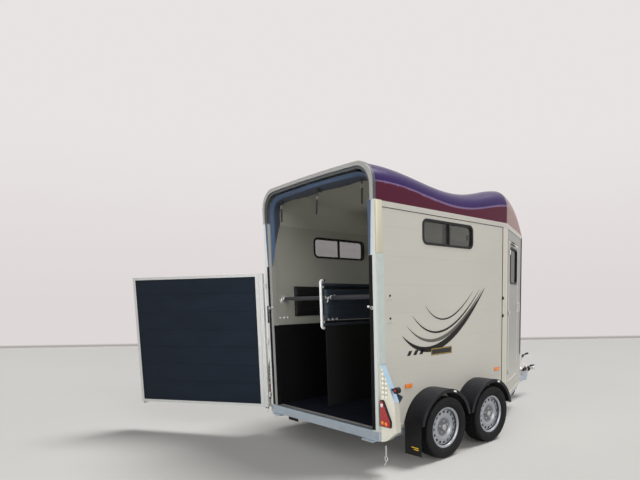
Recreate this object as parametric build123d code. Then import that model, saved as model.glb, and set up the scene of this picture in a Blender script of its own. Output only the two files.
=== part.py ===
from build123d import *
import os
from math import atan2, cos, hypot, radians, sin, sqrt

# Two-horse trailer with a hinged rear door, parked level on its jockey wheel.
# Millimetres. X points forward, Y to the left, Z up. Every piece is drawn from three datums:
# the rear plane of the body (x = 0), the centre line (y = 0) and the ground (z = 0).
# The finished pieces are shifted so that the origin is the centre of the tow ball.

# Body
coupling_to_rear = 4200.0
ball_height = 400.0
body_width = 1744.0
side_length = 2017.0
nose_run = 1151.0
nose_inset = 493.0
wall = 30.0
wall_bottom = 340.0
wall_top = 2355.0
soft_gap = 0.3
moving_gap = 6.0
running_clearance = 0.05

# Frame and floor
rail_height = 80.0
rail_width = 60.0
rail_side_gap = 2.0
floor_thickness = 25.0
floor_side_gap = 1.0
cross_member_width = 50.0
cross_member_stations = (330.0, 1055.0, 1995.0, 2560.0)

# Axles and wheels
rear_axle_station = 678.0
axle_spacing = 749.0
axle_tube = 70.0
arm_reach = 160.0
arm_thickness = 30.0
arm_wall_gap = 4.0
arm_tube_end = 44.0
arm_hub_end = 33.0
arm_boss_radius = 22.5
wheel_offset = 128.0
tyre_radius = 298.0
tyre_width = 188.0
tread_width = 140.0
tyre_wall = 11.0
tyre_shoulder_drop = 26.0
tyre_shoulder_inset = 2.0
tyre_belly_drop = 60.0
tyre_rim_lap = 1.0
bead_radius = 178.0
bead_width = 136.0
rim_width = 150.0
rim_flange_radius = 195.5
rim_sheet = 4.0
disc_bulge_radius = 126.0
disc_bulge = 57.0
disc_seat_radius = 82.0
disc_seat = 34.0
disc_edge = 17.0
vent_count = 16
vent_circle = 147.0
vent_width = 17.0
vent_length = 26.0
drum_radius = 115.0
drum_depth = 62.0
hub_cap_radius = 28.0
hub_cap_length = 24.0
stub_radius = 15.0

# Drawbar, coupling and levers
drawbar_rear_station = 1500.0
drawbar_rear_half = 520.0
drawbar_front_station = 3900.0
drawbar_front_half = 42.0
drawbar_width = 60.0
housing_length = 320.0
housing_width = 100.0
housing_height = 100.0
housing_round = 22.0
housing_plate = 12.0
housing_front_gap = 240.0
ball_radius = 25.0
ball_clearance = 0.3
cup_wall = 8.0
cup_skirt = 18.0
neck_length = 100.0
neck_width = 54.0
neck_height = 44.0
neck_round = 12.0
pull_tube_radius = 24.0
pull_tube_rise = 6.0
bellows_radius = 42.0
bellows_valley_radius = 33.0
bellows_folds = 5
bellows_ridge_place = 0.35
bellows_valley_place = 0.85
latch_rear = 84.0
latch_front = 36.0
latch_width = 30.0
latch_thickness = 16.0
latch_cup_gap = 4.0
latch_foot_rear = 72.0
latch_foot_front = 54.0
latch_foot_width = 20.0
lever_radius = 9.0
lever_side = 34.0
grip_radius = 15.0

# Jockey wheel
jockey_setback = 160.0
jockey_offset = 128.0
jockey_tube_radius = 24.0
jockey_tube_wall = 3.5
jockey_tube_bottom = 225.0
jockey_tube_top = 590.0
jockey_clamp_height = 60.0
jockey_clamp_drop = 12.0
jockey_clamp_width = 64.0
jockey_wheel_radius = 100.0
jockey_wheel_width = 50.0
jockey_trail = 35.0
jockey_pin_radius = 8.0
jockey_hub_radius = 24.0
jockey_hub_proud = 2.0
jockey_web_recess = 10.0
jockey_band_depth = 30.0
jockey_band_slope = 4.0
jockey_tread_round = 8.0
fork_plate = 5.0
fork_half_top = 24.0
fork_half_foot = 20.0
fork_bridge = 8.0
crank_arm = 100.0
crank_grip_radius = 13.0
crank_grip_length = 76.0

# Rear opening
post_width = 86.0
post_rear = 30.0
post_front = 50.0
post_proud = 21.0
sill_height = 87.0
strip_thickness = 12.0
strip_top = 1910.0
foot_length = 150.0
foot_inset = 30.0
foot_reach = 26.0
foot_drop = 16.0

# Rear door on its hinges at the left post
door_height = 1486.0
door_bottom = 342.0
door_thickness = 32.0
door_free_gap = 44.0
door_open_angle = 150.0
door_hinge_out = 13.0
door_hinge_setback = 14.0
door_hinge_stile = 92.0
door_free_stile = 34.0
door_rail = 30.0
door_board_inset = 5.0
door_groove = 4.0
door_foot = 20.0
hinge_pin_radius = 5.0
hinge_barrel_radius = 9.0
hinge_barrel_length = 40.0
hinge_lug = 6.0
hinge_end_gap = 140.0
hinge_slack = 0.5

# Side windows
window_station = 589.0
window_length = 786.0
window_below_top = 88.0
window_height = 240.0
window_radius = 62.0
window_flange = 22.0
window_proud = 7.0
window_sleeve = 4.0
window_inner_proud = 6.0
mullion_inset = 1.0
pane_thickness = 4.0
mullion_width = 20.0

# Groom door in the right front corner panel
groom_start = 190.0
groom_width = 740.0
groom_bottom = 500.0
groom_height = 1690.0
groom_edge = 28.0
groom_hinge_out = 11.0
groom_window_side = 100.0
groom_window_below_top = 60.0
groom_window_width = 540.0
groom_window_height = 440.0
groom_panel_inset = 2.0
groom_handle_height = 905.0
groom_handle_length = 120.0
groom_handle_reach = 34.0

# Roof and the rails round the body
roof_skin = 10.0
roof_rim_depth = 40.0
roof_rim_section = 34.0
roof_rim_proud = 8.0
roof_rim_lip = 24.0
roof_rim_step = 14.0
top_rail_height = 48.0
base_rail_height = 34.0
rail_sheet = 5.0
corner_trim_side = 74.0
corner_trim_nose = 48.0
corner_trim_sheet = 4.0

# Mudguards and mud flaps
guard_radius = 374.0
guard_sheet = 5.0
guard_lip = 34.0
guard_tyre_gap = 4.0
guard_end_angle = 12.0
flap_bottom = 95.0
flap_thickness = 5.0
flap_side_gap = 12.0

# Lamp brackets, lamps, reflectors and the wheel chock
bracket_sheet = 3.0
bracket_flange = 58.0
lamp_depth = 26.0
lamp_round = 8.0
marker_radius = 27.0
marker_length = 44.0
marker_setback = 12.0
marker_above_bend = 106.0
stalk_radius = 9.0
stalk_reach = 96.0
stalk_rise = 4.0
reflector_length = 90.0
reflector_height = 40.0
reflector_thickness = 8.0
reflector_height_above_ground = 700.0
reflector_stations = (330.0, 1790.0)
chock_width = 104.0
chock_bottom = 460.0

# Partition and padding inside
partition_front = 1975.0
partition_rear = 52.0
partition_low = 1265.0
partition_high = 1700.0
upright_radius = 14.0
upright_low = 1250.0
upright_high = 1722.0
upright_hook = 46.0
upright_bend = 24.0
frame_tube_radius = 12.0
column_radius = 25.0
column_top = 2560.0
pad_thickness = 44.0
skirt_thickness = 5.0
skirt_bottom = 450.0
lining_thickness = 8.0
lining_top = 1260.0
wall_pad_start = 280.0
wall_pad_length = 1560.0
wall_pad_low = 1340.0
wall_pad_high = 1700.0
wall_pad_thickness = 32.0
bar_radius = 26.0
bar_station = 160.0
breech_height = 1550.0
breast_height = 1430.0
bar_side_gap = 34.0
bar_middle_gap = 42.0
bracket_width = 60.0
bracket_height = 90.0
bracket_plate = 5.0
bracket_stub_radius = 14.0

# Curtain rolled up behind the roof rim
curtain_radius = 52.0
curtain_station = 110.0
curtain_below_crown = 69.0
curtain_side_gap = 182.0
curtain_drop = 320.0
curtain_strap_width = 40.0
curtain_strap = 3.0
curtain_edge_bottom = 1900.0

# Values worked out from those above
half_body = body_width / 2
half_inner = half_body - wall
body_length = side_length + nose_run
nose_length = hypot(nose_run, nose_inset)
nose_cos = nose_run / nose_length
nose_sin = nose_inset / nose_length
floor_top = wall_bottom + floor_thickness
rail_bottom = wall_bottom - rail_height
axle_stations = (rear_axle_station, rear_axle_station + axle_spacing)
track_half = half_body + wheel_offset
post_outer = half_body + post_proud
post_inner = post_outer - post_width
sill_bottom = floor_top - sill_height
guard_outer = track_half + tyre_width / 2 + guard_tyre_gap
guard_end = tyre_radius + guard_radius * sin(radians(guard_end_angle))
pad_start = partition_rear + upright_bend + soft_gap
skirt_start = partition_rear + upright_hook + soft_gap

os.makedirs("parts", exist_ok=True)


def save(name, shape):
    """Write one piece, shifted from the rear datum to the tow ball."""
    moved = Pos(-coupling_to_rear, 0, -ball_height) * shape
    export_step(moved, f"parts/{name}.step")


def group(solids):
    """Several solids in one node."""
    return Compound(children=list(solids))


def mirrored(shape):
    """The piece on the other side of the centre line."""
    return mirror(shape, about=Plane.XZ)


def both(shape):
    """The piece and its mirror image about the centre line."""
    return group([shape, mirrored(shape)])


def block(x0, x1, y0, y1, z0, z1):
    """A box between two corners."""
    centre = Pos((x0 + x1) / 2, (y0 + y1) / 2, (z0 + z1) / 2)
    return centre * Box(abs(x1 - x0), abs(y1 - y0), abs(z1 - z0))


def prism_x(points, x0, x1):
    """A rear outline of (y, z) points carried from x0 to x1."""
    face = make_face(Polyline(*[(x0, y, z) for y, z in points], close=True))
    return extrude(face, x1 - x0, dir=(1, 0, 0))


def prism_y(points, y0, y1):
    """A side outline of (x, z) points carried from y0 to y1."""
    face = make_face(Polyline(*[(x, y0, z) for x, z in points], close=True))
    return extrude(face, y1 - y0, dir=(0, 1, 0))


def prism_z(points, z0, z1):
    """A plan outline carried from one height to another."""
    face = make_face(Polyline(*points, close=True))
    return Pos(0, 0, z0) * extrude(face, z1 - z0, dir=(0, 0, 1))


def cyl_y(x, y0, y1, z, radius):
    """A cylinder along Y."""
    return Pos(x, (y0 + y1) / 2, z) * Rot(90, 0, 0) * Cylinder(radius, abs(y1 - y0))


def cyl_z(x, y, z0, z1, radius):
    """A cylinder along Z."""
    return Pos(x, y, (z0 + z1) / 2) * Cylinder(radius, z1 - z0)


def turned(points):
    """A closed section of (radius, axial) points turned about the Y axis."""
    return revolve(make_face(Polyline(*points, close=True)), Axis.Y)


def tube_along(path, radius):
    """A round bar along a path."""
    return sweep(Plane(path @ 0, z_dir=path % 0) * Circle(radius), path=path)


def rod(start, end, radius):
    """A round bar between two points."""
    return tube_along(Line(start, end), radius)


def rounded_plate(x0, x1, z0, z1, radius, y0, y1):
    """A plate with rounded corners in a side view, from y0 to y1."""
    sketch = RectangleRounded(x1 - x0, z1 - z0, radius)
    plane = Plane(origin=((x0 + x1) / 2, y0, (z0 + z1) / 2), x_dir=(1, 0, 0), z_dir=(0, 1, 0))
    return extrude(plane * sketch, y1 - y0)


def plan_corners(depth):
    """The two corners of the right half plan, that far inside the walls' outer face."""
    side_y = -half_body + depth
    shift = depth * (1 - nose_cos) / nose_sin
    first = (side_length - shift, side_y)
    front_x = body_length - depth
    second = (front_x, side_y + (front_x - first[0]) * nose_inset / nose_run)
    return first, second


def plan_ring(depth, rear):
    """The whole plan outline, that far inside the outer face, from a rear station."""
    first, second = plan_corners(depth)
    side = half_body - depth
    return [(rear, -side), first, second, (second[0], -second[1]), (first[0], -first[1]), (rear, side)]


def nose_half(station, depth):
    """Half width of the plan at a station of the nose, that far inside the outer face."""
    first, second = plan_corners(depth)
    return -(first[1] + (station - first[0]) * nose_inset / nose_run)


# Along the right front corner panel: x is the distance from the side wall's front corner,
# y is the depth inward from the outer face, z is the height.
corner_frame = Plane(origin=(side_length, -half_body, 0), x_dir=(nose_cos, nose_sin, 0), z_dir=(0, 0, 1))


def on_corner(shape):
    """Place a piece drawn along the corner panel."""
    return corner_frame.location * shape


class Window:
    """A window in a wall whose outer face is y = 0: its hole, frame and glass."""

    def __init__(self, x0, z0, length, height, depth, mullion, inner_proud):
        self.x0 = x0
        self.z0 = z0
        self.length = length
        self.height = height
        self.depth = depth
        self.mullion = mullion
        self.inner_proud = inner_proud

    def plate(self, inset, y0, y1):
        """The window's outline, that far inside its flange, from y0 to y1."""
        return rounded_plate(self.x0 + inset, self.x0 + self.length - inset, self.z0 + inset,
                             self.z0 + self.height - inset, window_radius - inset, y0, y1)

    def bar(self, y0, y1):
        """The upright bar between two panes."""
        middle = self.x0 + self.length / 2
        inset = window_flange - window_sleeve / 2
        return block(middle - mullion_width / 2, middle + mullion_width / 2, y0, y1,
                     self.z0 + inset, self.z0 + self.height - inset)

    def hole(self):
        """The cut through the wall that takes the sleeve."""
        return self.plate(window_flange - window_sleeve, -wall, self.depth + wall)

    def frame(self):
        """A flange outside the wall, a sleeve through it and, where asked, a flange inside."""
        sleeve = self.plate(window_flange - window_sleeve, 0, self.depth)
        frame = self.plate(0, -window_proud, 0) + sleeve
        if self.inner_proud:
            frame = frame + self.plate(0, self.depth, self.depth + self.inner_proud)
        frame = frame - self.plate(window_flange, -window_proud - 1, self.depth + self.inner_proud + 1)
        if self.mullion:
            frame = frame + self.bar(-window_proud + mullion_inset, self.depth / 2)
        return frame

    def pane(self):
        """The glass inside the sleeve, in one sheet or two."""
        face = self.depth / 2 - pane_thickness
        glass = self.plate(window_flange, face, face + pane_thickness)
        if self.mullion:
            glass = glass - self.bar(face - 1, face + pane_thickness + 1)
        return glass


def make_walls():
    """Side walls with their windows, and the front panel."""
    first, second = plan_corners(0)
    inner_first, inner_second = plan_corners(wall)
    right_face = Pos(0, -half_body, 0)
    window = Window(window_station, wall_top - window_below_top - window_height, window_length,
                    window_height, wall, True, window_inner_proud)
    plan = [(post_front, -half_body), first, inner_first, (post_front, -half_inner)]
    side = prism_z(plan, wall_bottom, wall_top) - right_face * window.hole()
    save("side_wall_right", side)
    save("side_wall_left", mirrored(side))
    save("side_window_frames", both(right_face * window.frame()))
    save("side_window_panes", both(right_face * window.pane()))
    front_plan = [second, (second[0], -second[1]), (inner_second[0], -inner_second[1]), inner_second]
    save("front_wall", prism_z(front_plan, wall_bottom, wall_top))
    corner = prism_z([first, second, inner_second, inner_first], wall_bottom, wall_top)
    save("corner_wall_left", mirrored(corner))
    doorway = block(groom_start - moving_gap, groom_start + groom_width + moving_gap, -wall, 2 * wall,
                    groom_bottom - moving_gap, groom_bottom + groom_height + moving_gap)
    save("corner_wall_right", corner - on_corner(doorway))


def band(z0, z1, sheet):
    """A flat rail round the outside of the walls."""
    outer = prism_z(plan_ring(-sheet, post_front), z0, z1)
    return outer - prism_z(plan_ring(0, post_front - 1), z0 - 1, z1 + 1)


def corner_trim(depth_out, z0, z1):
    """A folded strip over the corner between the side wall and the corner panel."""
    outer_first, outer_second = plan_corners(-depth_out)
    first, second = plan_corners(0)
    along = corner_trim_nose
    strip = prism_z([(first[0] - corner_trim_side, -half_body), (first[0] - corner_trim_side, outer_first[1]),
                     outer_first, (outer_first[0] + along * nose_cos, outer_first[1] + along * nose_sin),
                     (first[0] + along * nose_cos, first[1] + along * nose_sin), first], z0, z1)
    return strip


def make_rails():
    """Aluminium rails round the top and the foot of the walls, and the corner strips."""
    save("top_rail", band(wall_top - top_rail_height, wall_top, rail_sheet))
    save("base_rail", band(wall_bottom, wall_bottom + base_rail_height, rail_sheet))
    trim = corner_trim(corner_trim_sheet, wall_bottom + base_rail_height, wall_top - top_rail_height)
    save("corner_trims", both(trim))


# Roof sections; the columns are station, height of the crease, height of the crown and
# width of the shoulder
roof_rear_sections = (
    (0.0, 2485.0, 2698.0, 200.0),
    (400.0, 2482.0, 2690.0, 200.0),
    (840.0, 2432.0, 2630.0, 200.0),
    (1400.0, 2436.0, 2624.0, 200.0),
    (1790.0, 2508.0, 2706.0, 210.0),
    (side_length, 2524.0, 2748.0, 220.0),
)
roof_nose_sections = (
    (side_length, 2524.0, 2748.0, 220.0),
    (2330.0, 2512.0, 2782.0, 230.0),
    (2620.0, 2476.0, 2756.0, 220.0),
    (2860.0, 2430.0, 2668.0, 180.0),
    (3040.0, 2396.0, 2530.0, 110.0),
    (body_length, 2364.0, 2384.0, 16.0),
)
roof_crown_droop = 10.0
roof_least_rise = 2.0
roof_shoulder_share = 0.6


def roof_section(station, half, crease, crown, shoulder):
    """An arch of straight sides, round shoulders and a slightly crowned top."""
    flat = half - shoulder
    droop = min(roof_crown_droop, (crown - crease) / 4)
    edge = crown - droop
    knee = (half - shoulder * (1 - sqrt(0.5)), crease + (edge - crease) * sqrt(0.5))
    path = [
        Line((station, -half, wall_top), (station, -half, crease)),
        ThreePointArc((station, -half, crease), (station, -knee[0], knee[1]), (station, -flat, edge)),
        ThreePointArc((station, -flat, edge), (station, 0, crown), (station, flat, edge)),
        ThreePointArc((station, flat, edge), (station, knee[0], knee[1]), (station, half, crease)),
        Line((station, half, crease), (station, half, wall_top)),
        Line((station, half, wall_top), (station, -half, wall_top)),
    ]
    return make_face(Wire(path))


def roof_form(skin):
    """The roof as a solid, that far inside its outer skin."""
    rear = []
    for station, crease, crown, shoulder in roof_rear_sections:
        rear.append(roof_section(station, half_body - skin, crease, crown - skin, shoulder))
    nose = []
    for station, crease, crown, shoulder in roof_nose_sections:
        half = nose_half(station, 0) - skin
        top = max(crown - skin, crease + roof_least_rise)
        nose.append(roof_section(station, half, crease, top, min(shoulder, half * roof_shoulder_share)))
    return loft(rear) + loft(nose)


def rim_arch(depth, inside):
    """The arch of the roof's rear edge, that far inside its outer face, carried back from the roof."""
    _, crease, crown, shoulder = roof_rear_sections[0]
    out = roof_rim_proud - inside
    return extrude(roof_section(-depth, half_body + out, crease, crown + out, shoulder), depth, dir=(1, 0, 0))


def make_roof():
    """Hollow roof moulding and the thick edge round its rear, which steps down to a thinner lip."""
    hollow = roof_form(roof_skin) & block(-1, body_length - roof_skin, -half_body, half_body, 0, 2 * wall_top)
    save("roof_shell", roof_form(0) - hollow)
    lip_depth = roof_rim_depth - roof_rim_step
    rim = rim_arch(roof_rim_depth, 0) - rim_arch(roof_rim_depth, roof_rim_section)
    lip = rim_arch(lip_depth, roof_rim_section) - rim_arch(lip_depth, roof_rim_section + roof_rim_lip)
    save("roof_rim", rim + lip)


def make_frame():
    """Floor board, the frame under it and the V drawbar."""
    dx = drawbar_front_station - drawbar_rear_station
    dy = drawbar_rear_half - drawbar_front_half
    half = drawbar_width / 2 * hypot(dx, dy) / dx
    beam = prism_z([(drawbar_rear_station, drawbar_rear_half - half),
                    (drawbar_rear_station, drawbar_rear_half + half),
                    (drawbar_front_station, drawbar_front_half + half),
                    (drawbar_front_station, drawbar_front_half - half)], rail_bottom, wall_bottom)
    plate = block(housing_rear, housing_front, -housing_width / 2 - housing_plate,
                  housing_width / 2 + housing_plate, wall_bottom - housing_plate, wall_bottom)
    drawbar = beam + mirrored(beam) + plate
    save("drawbar", drawbar)
    inner = plan_ring(wall + rail_side_gap, post_rear)
    hollow = plan_ring(wall + rail_side_gap + rail_width, post_rear - 1)
    frame = prism_z(inner, rail_bottom, wall_bottom) - prism_z(hollow, rail_bottom - 1, wall_bottom + 1)
    for station in cross_member_stations:
        reach = half_inner
        if station > side_length:
            reach = nose_half(station, wall + rail_side_gap)
        member = block(station, station + cross_member_width, -reach, reach, rail_bottom, wall_bottom)
        frame = frame + (member & prism_z(inner, rail_bottom, wall_bottom))
    save("chassis_frame", frame - drawbar)
    save("floor_board", prism_z(plan_ring(wall + floor_side_gap, post_rear), wall_bottom, floor_top))


def make_axles():
    """Square axle tubes with trailing arms, backing plates and stub axles."""
    inner = half_inner + arm_wall_gap
    outer = inner + arm_thickness
    tube_z = rail_bottom - axle_tube / 2
    face = track_half - drum_depth - moving_gap
    axles = []
    for station in axle_stations:
        tube_x = station + arm_reach
        tube = block(tube_x - axle_tube / 2, tube_x + axle_tube / 2, -inner, inner, rail_bottom - axle_tube,
                     rail_bottom)
        slope = atan2(tyre_radius - tube_z, -arm_reach)
        nx, nz = sin(slope), -cos(slope)
        web = prism_y([(tube_x + arm_tube_end * nx, tube_z + arm_tube_end * nz),
                       (station + arm_hub_end * nx, tyre_radius + arm_hub_end * nz),
                       (station - arm_hub_end * nx, tyre_radius - arm_hub_end * nz),
                       (tube_x - arm_tube_end * nx, tube_z - arm_tube_end * nz)], inner, outer)
        arm = web + cyl_y(tube_x, inner, outer, tube_z, arm_tube_end)
        arm = arm + cyl_y(station, inner, outer, tyre_radius, arm_hub_end)
        arm = arm + cyl_y(station, outer, face, tyre_radius, arm_boss_radius)
        arm = arm + cyl_y(station, face - bracket_plate, face, tyre_radius, drum_radius)
        arm = arm + cyl_y(station, face, track_half, tyre_radius, stub_radius)
        axles.append(tube + arm + mirrored(arm))
    save("axles", group(axles))


def tyre_solid():
    """A tyre as an open channel: tread, shoulders, round sidewalls and beads."""
    half = tyre_width / 2
    tread = tread_width / 2
    bead = bead_width / 2
    edge = rim_flange_radius + tyre_rim_lap
    foot = rim_width / 2 - rim_sheet - soft_gap
    shoulder = (tyre_radius - tyre_shoulder_drop, half - tyre_shoulder_inset)
    belly = (tyre_radius - tyre_belly_drop, half)
    inner_belly = (tyre_radius - tyre_belly_drop, half - tyre_wall)
    crown = tyre_radius - tyre_wall
    path = [
        Line((tyre_radius, -tread), (tyre_radius, tread)),
        Line((tyre_radius, tread), shoulder),
        ThreePointArc(shoulder, belly, (edge, foot)),
        Line((edge, foot), (bead_radius, bead)),
        Line((bead_radius, bead), (bead_radius, bead - tyre_wall)),
        Line((bead_radius, bead - tyre_wall), inner_belly),
        Line(inner_belly, (crown, tread)),
        Line((crown, tread), (crown, -tread)),
        Line((crown, -tread), (inner_belly[0], -inner_belly[1])),
        Line((inner_belly[0], -inner_belly[1]), (bead_radius, tyre_wall - bead)),
        Line((bead_radius, tyre_wall - bead), (bead_radius, -bead)),
        Line((bead_radius, -bead), (edge, -foot)),
        ThreePointArc((edge, -foot), (belly[0], -belly[1]), (shoulder[0], -shoulder[1])),
        Line((shoulder[0], -shoulder[1]), (tyre_radius, -tread)),
    ]
    return revolve(make_face(Wire(path)), Axis.Y)


def rim_solid():
    """A pressed steel rim: barrel with two flanges, a dished disc with vents, drum and hub."""
    seat = bead_radius - soft_gap
    flange = rim_width / 2
    inner = flange - rim_sheet
    barrel = turned([(seat, -inner), (rim_flange_radius, -inner), (rim_flange_radius, -flange),
                     (seat, -flange), (seat - rim_sheet, -inner), (seat - rim_sheet, inner), (seat, flange),
                     (rim_flange_radius, flange), (rim_flange_radius, inner), (seat, inner)])
    face = [(seat - rim_sheet, disc_edge), (disc_bulge_radius, disc_bulge), (disc_seat_radius, disc_seat),
            (hub_cap_radius + rim_sheet, disc_seat)]
    back = [(radius, axial - rim_sheet) for radius, axial in reversed(face)]
    disc = turned(face + back)
    end = vent_length / 2
    side = vent_width / 2
    vent = [(vent_circle + x, z) for x, z in ((-end, 0), (-end / 2, side), (end / 2, side), (end, 0),
                                              (end / 2, -side), (-end / 2, -side))]
    slot = prism_y(vent, 0, disc_bulge + rim_sheet)
    for turn in range(vent_count):
        disc = disc - Rot(0, 360 * turn / vent_count, 0) * slot
    mount = disc_seat - rim_sheet
    cap = mount + hub_cap_length
    flat = disc_seat_radius - rim_sheet
    hub = turned([(0, -drum_depth), (drum_radius, -drum_depth), (drum_radius, 0), (flat, 0), (flat, mount),
                  (hub_cap_radius, mount), (hub_cap_radius, cap), (0, cap)])
    hub = hub - cyl_y(0, -drum_depth - 1, moving_gap, 0, stub_radius + running_clearance)
    return barrel + disc + hub


def make_wheels():
    """Four tyres on four rims."""
    tyre = tyre_solid()
    rim = rim_solid()
    for label, station in zip(("rear", "front"), axle_stations):
        for side, sign in (("left", 1), ("right", -1)):
            place = Pos(station, sign * track_half, tyre_radius) * Rot(0, 0, 0 if sign > 0 else 180)
            save(f"tyre_{label}_{side}", place * tyre)
            save(f"rim_{label}_{side}", place * rim)


def make_guards():
    """Mudguards with an outer lip, and the flaps behind the rear ones."""
    guards = []
    for station in axle_stations:
        outer = cyl_y(station, half_body, guard_outer, tyre_radius, guard_radius)
        hollow = cyl_y(station, half_body - 1, guard_outer - guard_sheet, tyre_radius,
                       guard_radius - guard_sheet)
        mouth = cyl_y(station, half_body - 1, guard_outer + 1, tyre_radius, guard_radius - guard_lip)
        below = block(station - 2 * guard_radius, station + 2 * guard_radius, 0, 2 * guard_outer,
                      -guard_radius, guard_end)
        guards.append(outer - hollow - mouth - below)
    save("mudguards", group(guards + [mirrored(guard) for guard in guards]))
    front = rear_axle_station - guard_radius * cos(radians(guard_end_angle)) - soft_gap
    flap = block(front - flap_thickness, front, half_body + flap_side_gap, guard_outer - flap_side_gap,
                 flap_bottom, guard_end + guard_lip)
    save("mud_flaps", both(flap))


def make_rear_opening():
    """Posts with their outer strips and door hinges, the sill, and the feet under it."""
    post = block(-post_rear, post_front, -post_outer, -post_inner, floor_top, wall_top)
    strip = block(-post_rear + rail_sheet, post_front + rail_sheet, -post_outer - strip_thickness,
                  -post_outer, bracket_top, strip_top)
    right = post + strip
    left = mirrored(right)
    for height in door_hinge_heights():
        left = left + hinge_fixed(door_hinge_x, door_hinge_y, height)
    save("rear_posts", group([left, right]))
    sill = block(-post_rear, post_rear, -post_outer, post_outer, sill_bottom, floor_top)
    foot = block(-post_rear - foot_reach, post_rear, post_inner - foot_length + foot_inset,
                 post_inner + foot_inset, sill_bottom - foot_drop, sill_bottom)
    save("rear_sill", sill + foot + mirrored(foot))


# Outline of the lamp bracket; the columns are distance outside the post and height
bracket_top = 970.0
bracket_outline = ((0.0, bracket_top), (168.0, 646.0), (187.0, 379.0), (72.0, 292.0), (0.0, 266.0))

# Outline of the rear lamp, in the same columns
lamp_outline = ((10.0, 652.0), (40.0, 652.0), (136.0, 470.0), (136.0, 416.0), (10.0, 416.0))


def make_lamps():
    """Lamp brackets beside the posts, rear lamps, marker lamps and side reflectors."""
    corners = [(0, post_outer + out, height) for out, height in bracket_outline]
    outline = make_face(Polyline(*corners, close=True))
    hollow = offset(outline, -bracket_sheet)
    bracket = extrude(outline, bracket_flange, dir=(1, 0, 0))
    bracket = bracket - Pos(bracket_sheet, 0, 0) * extrude(hollow, bracket_flange, dir=(1, 0, 0))
    bracket = bracket - block(bracket_sheet, bracket_flange + 1, 0, post_outer + 2 * bracket_sheet, 0,
                              wall_top)
    save("lamp_brackets", both(bracket))
    lamp = prism_x([(post_outer + out, height) for out, height in lamp_outline], -lamp_depth, 0)
    lamp = fillet(lamp.edges().filter_by(Axis.X), lamp_round)
    save("rear_lamps", both(lamp))
    marker_y = post_outer + bracket_outline[2][0]
    marker_z = bracket_outline[1][1] + marker_above_bend
    marker_x = bracket_flange / 2
    body = Rot(0, 90, 0) * Cylinder(marker_radius, marker_length)
    marker = Pos(marker_x - marker_setback, marker_y, marker_z) * body
    stalk = rod((marker_x, marker_y - stalk_reach, marker_z - stalk_rise), (marker_x, marker_y, marker_z),
                stalk_radius)
    save("marker_lamps", both(marker + stalk - bracket))
    pieces = []
    for station in reflector_stations:
        pieces.append(block(station, station + reflector_length, -half_body - reflector_thickness, -half_body,
                            reflector_height_above_ground, reflector_height_above_ground + reflector_height))
    save("side_reflectors", group(pieces + [mirrored(piece) for piece in pieces]))


# Side outline of the wheel chock; the columns are distance in front of its rear face and height
# over its lower end
chock_outline = ((0.0, 0.0), (26.0, 0.0), (44.0, 96.0), (132.0, 196.0), (24.0, 262.0), (0.0, 262.0))


def make_chock():
    """A wheel chock standing on end in its holder on the right side."""
    x0 = bracket_flange + moving_gap
    points = [(x0 + out, chock_bottom + up) for out, up in chock_outline]
    save("wheel_chock", prism_y(points, -half_body - chock_width, -half_body))


door_hinge_x = -post_rear - moving_gap - door_thickness / 2
door_hinge_y = half_body + door_hinge_out


def door_hinge_heights():
    """Three hinges: one near each end of the door and one in the middle."""
    low = door_bottom + hinge_end_gap
    high = door_bottom + door_height - hinge_end_gap
    return (low, (low + high) / 2, high)


def groom_hinge_heights():
    """Three hinges on the groom door, spaced as on the rear door."""
    low = groom_bottom + hinge_end_gap
    high = groom_bottom + groom_height - hinge_end_gap
    return (low, (low + high) / 2, high)


def hinge_fixed(x, y, z):
    """Two lugs with the pin between them, carried forward to the post."""
    half = hinge_barrel_length / 2
    width = hinge_barrel_radius - 1
    lug = cyl_z(x, y, z + half, z + half + hinge_lug, hinge_barrel_radius)
    lug = lug + block(x, -post_rear, y - width, y + width, z + half, z + half + hinge_lug)
    lower = Pos(0, 0, -hinge_barrel_length - hinge_lug) * lug
    return lug + lower + cyl_z(x, y, z - half - hinge_lug, z + half + hinge_lug, hinge_pin_radius)


def hinge_barrel(x, y, z, tail):
    """The moving barrel with its leaf, bored for the pin."""
    half = hinge_barrel_length / 2 - hinge_slack
    barrel = cyl_z(x, y, z - half, z + half, hinge_barrel_radius) + tail
    return barrel - cyl_z(x, y, z - hinge_barrel_length, z + hinge_barrel_length,
                          hinge_pin_radius + running_clearance)


def make_rear_door():
    """Rear door, drawn closed and then turned open about its hinges."""
    axis = Axis((door_hinge_x, door_hinge_y, 0), (0, 0, 1))
    x0 = door_hinge_x - door_thickness / 2
    x1 = door_hinge_x + door_thickness / 2
    y1 = door_hinge_y - door_hinge_setback
    y0 = -post_outer + door_free_gap
    top = door_bottom + door_height
    inner = (y0 + door_free_stile, y1 - door_hinge_stile, door_bottom + door_rail, top - door_rail)
    frame = block(x0, x1, y0, y1, door_bottom, top)
    frame = frame - block(x0 - 1, x1 + 1, *inner)
    groove_y = y1 - door_hinge_stile / 2
    for face in (x0, x1):
        frame = frame - block(face - door_groove, face + door_groove, groove_y - door_groove,
                              groove_y + door_groove, door_bottom + door_rail, top - door_rail)
    for foot_y in (y0 + door_free_stile, y1 - door_free_stile):
        frame = frame + block(x0, x1 - moving_gap, foot_y - door_foot, foot_y + door_foot,
                              door_bottom - door_foot, door_bottom)
    half = hinge_barrel_length / 2 - hinge_slack
    for height in door_hinge_heights():
        tail = block(door_hinge_x - hinge_lug / 2, door_hinge_x + hinge_lug / 2, y1 - 1, door_hinge_y,
                     height - half, height + half)
        frame = frame + hinge_barrel(door_hinge_x, door_hinge_y, height, tail)
    board = block(x0 + door_board_inset, x1 - door_board_inset, *inner)
    save("rear_door_frame", frame.rotate(axis, -door_open_angle))
    save("rear_door_panel", board.rotate(axis, -door_open_angle))


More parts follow.
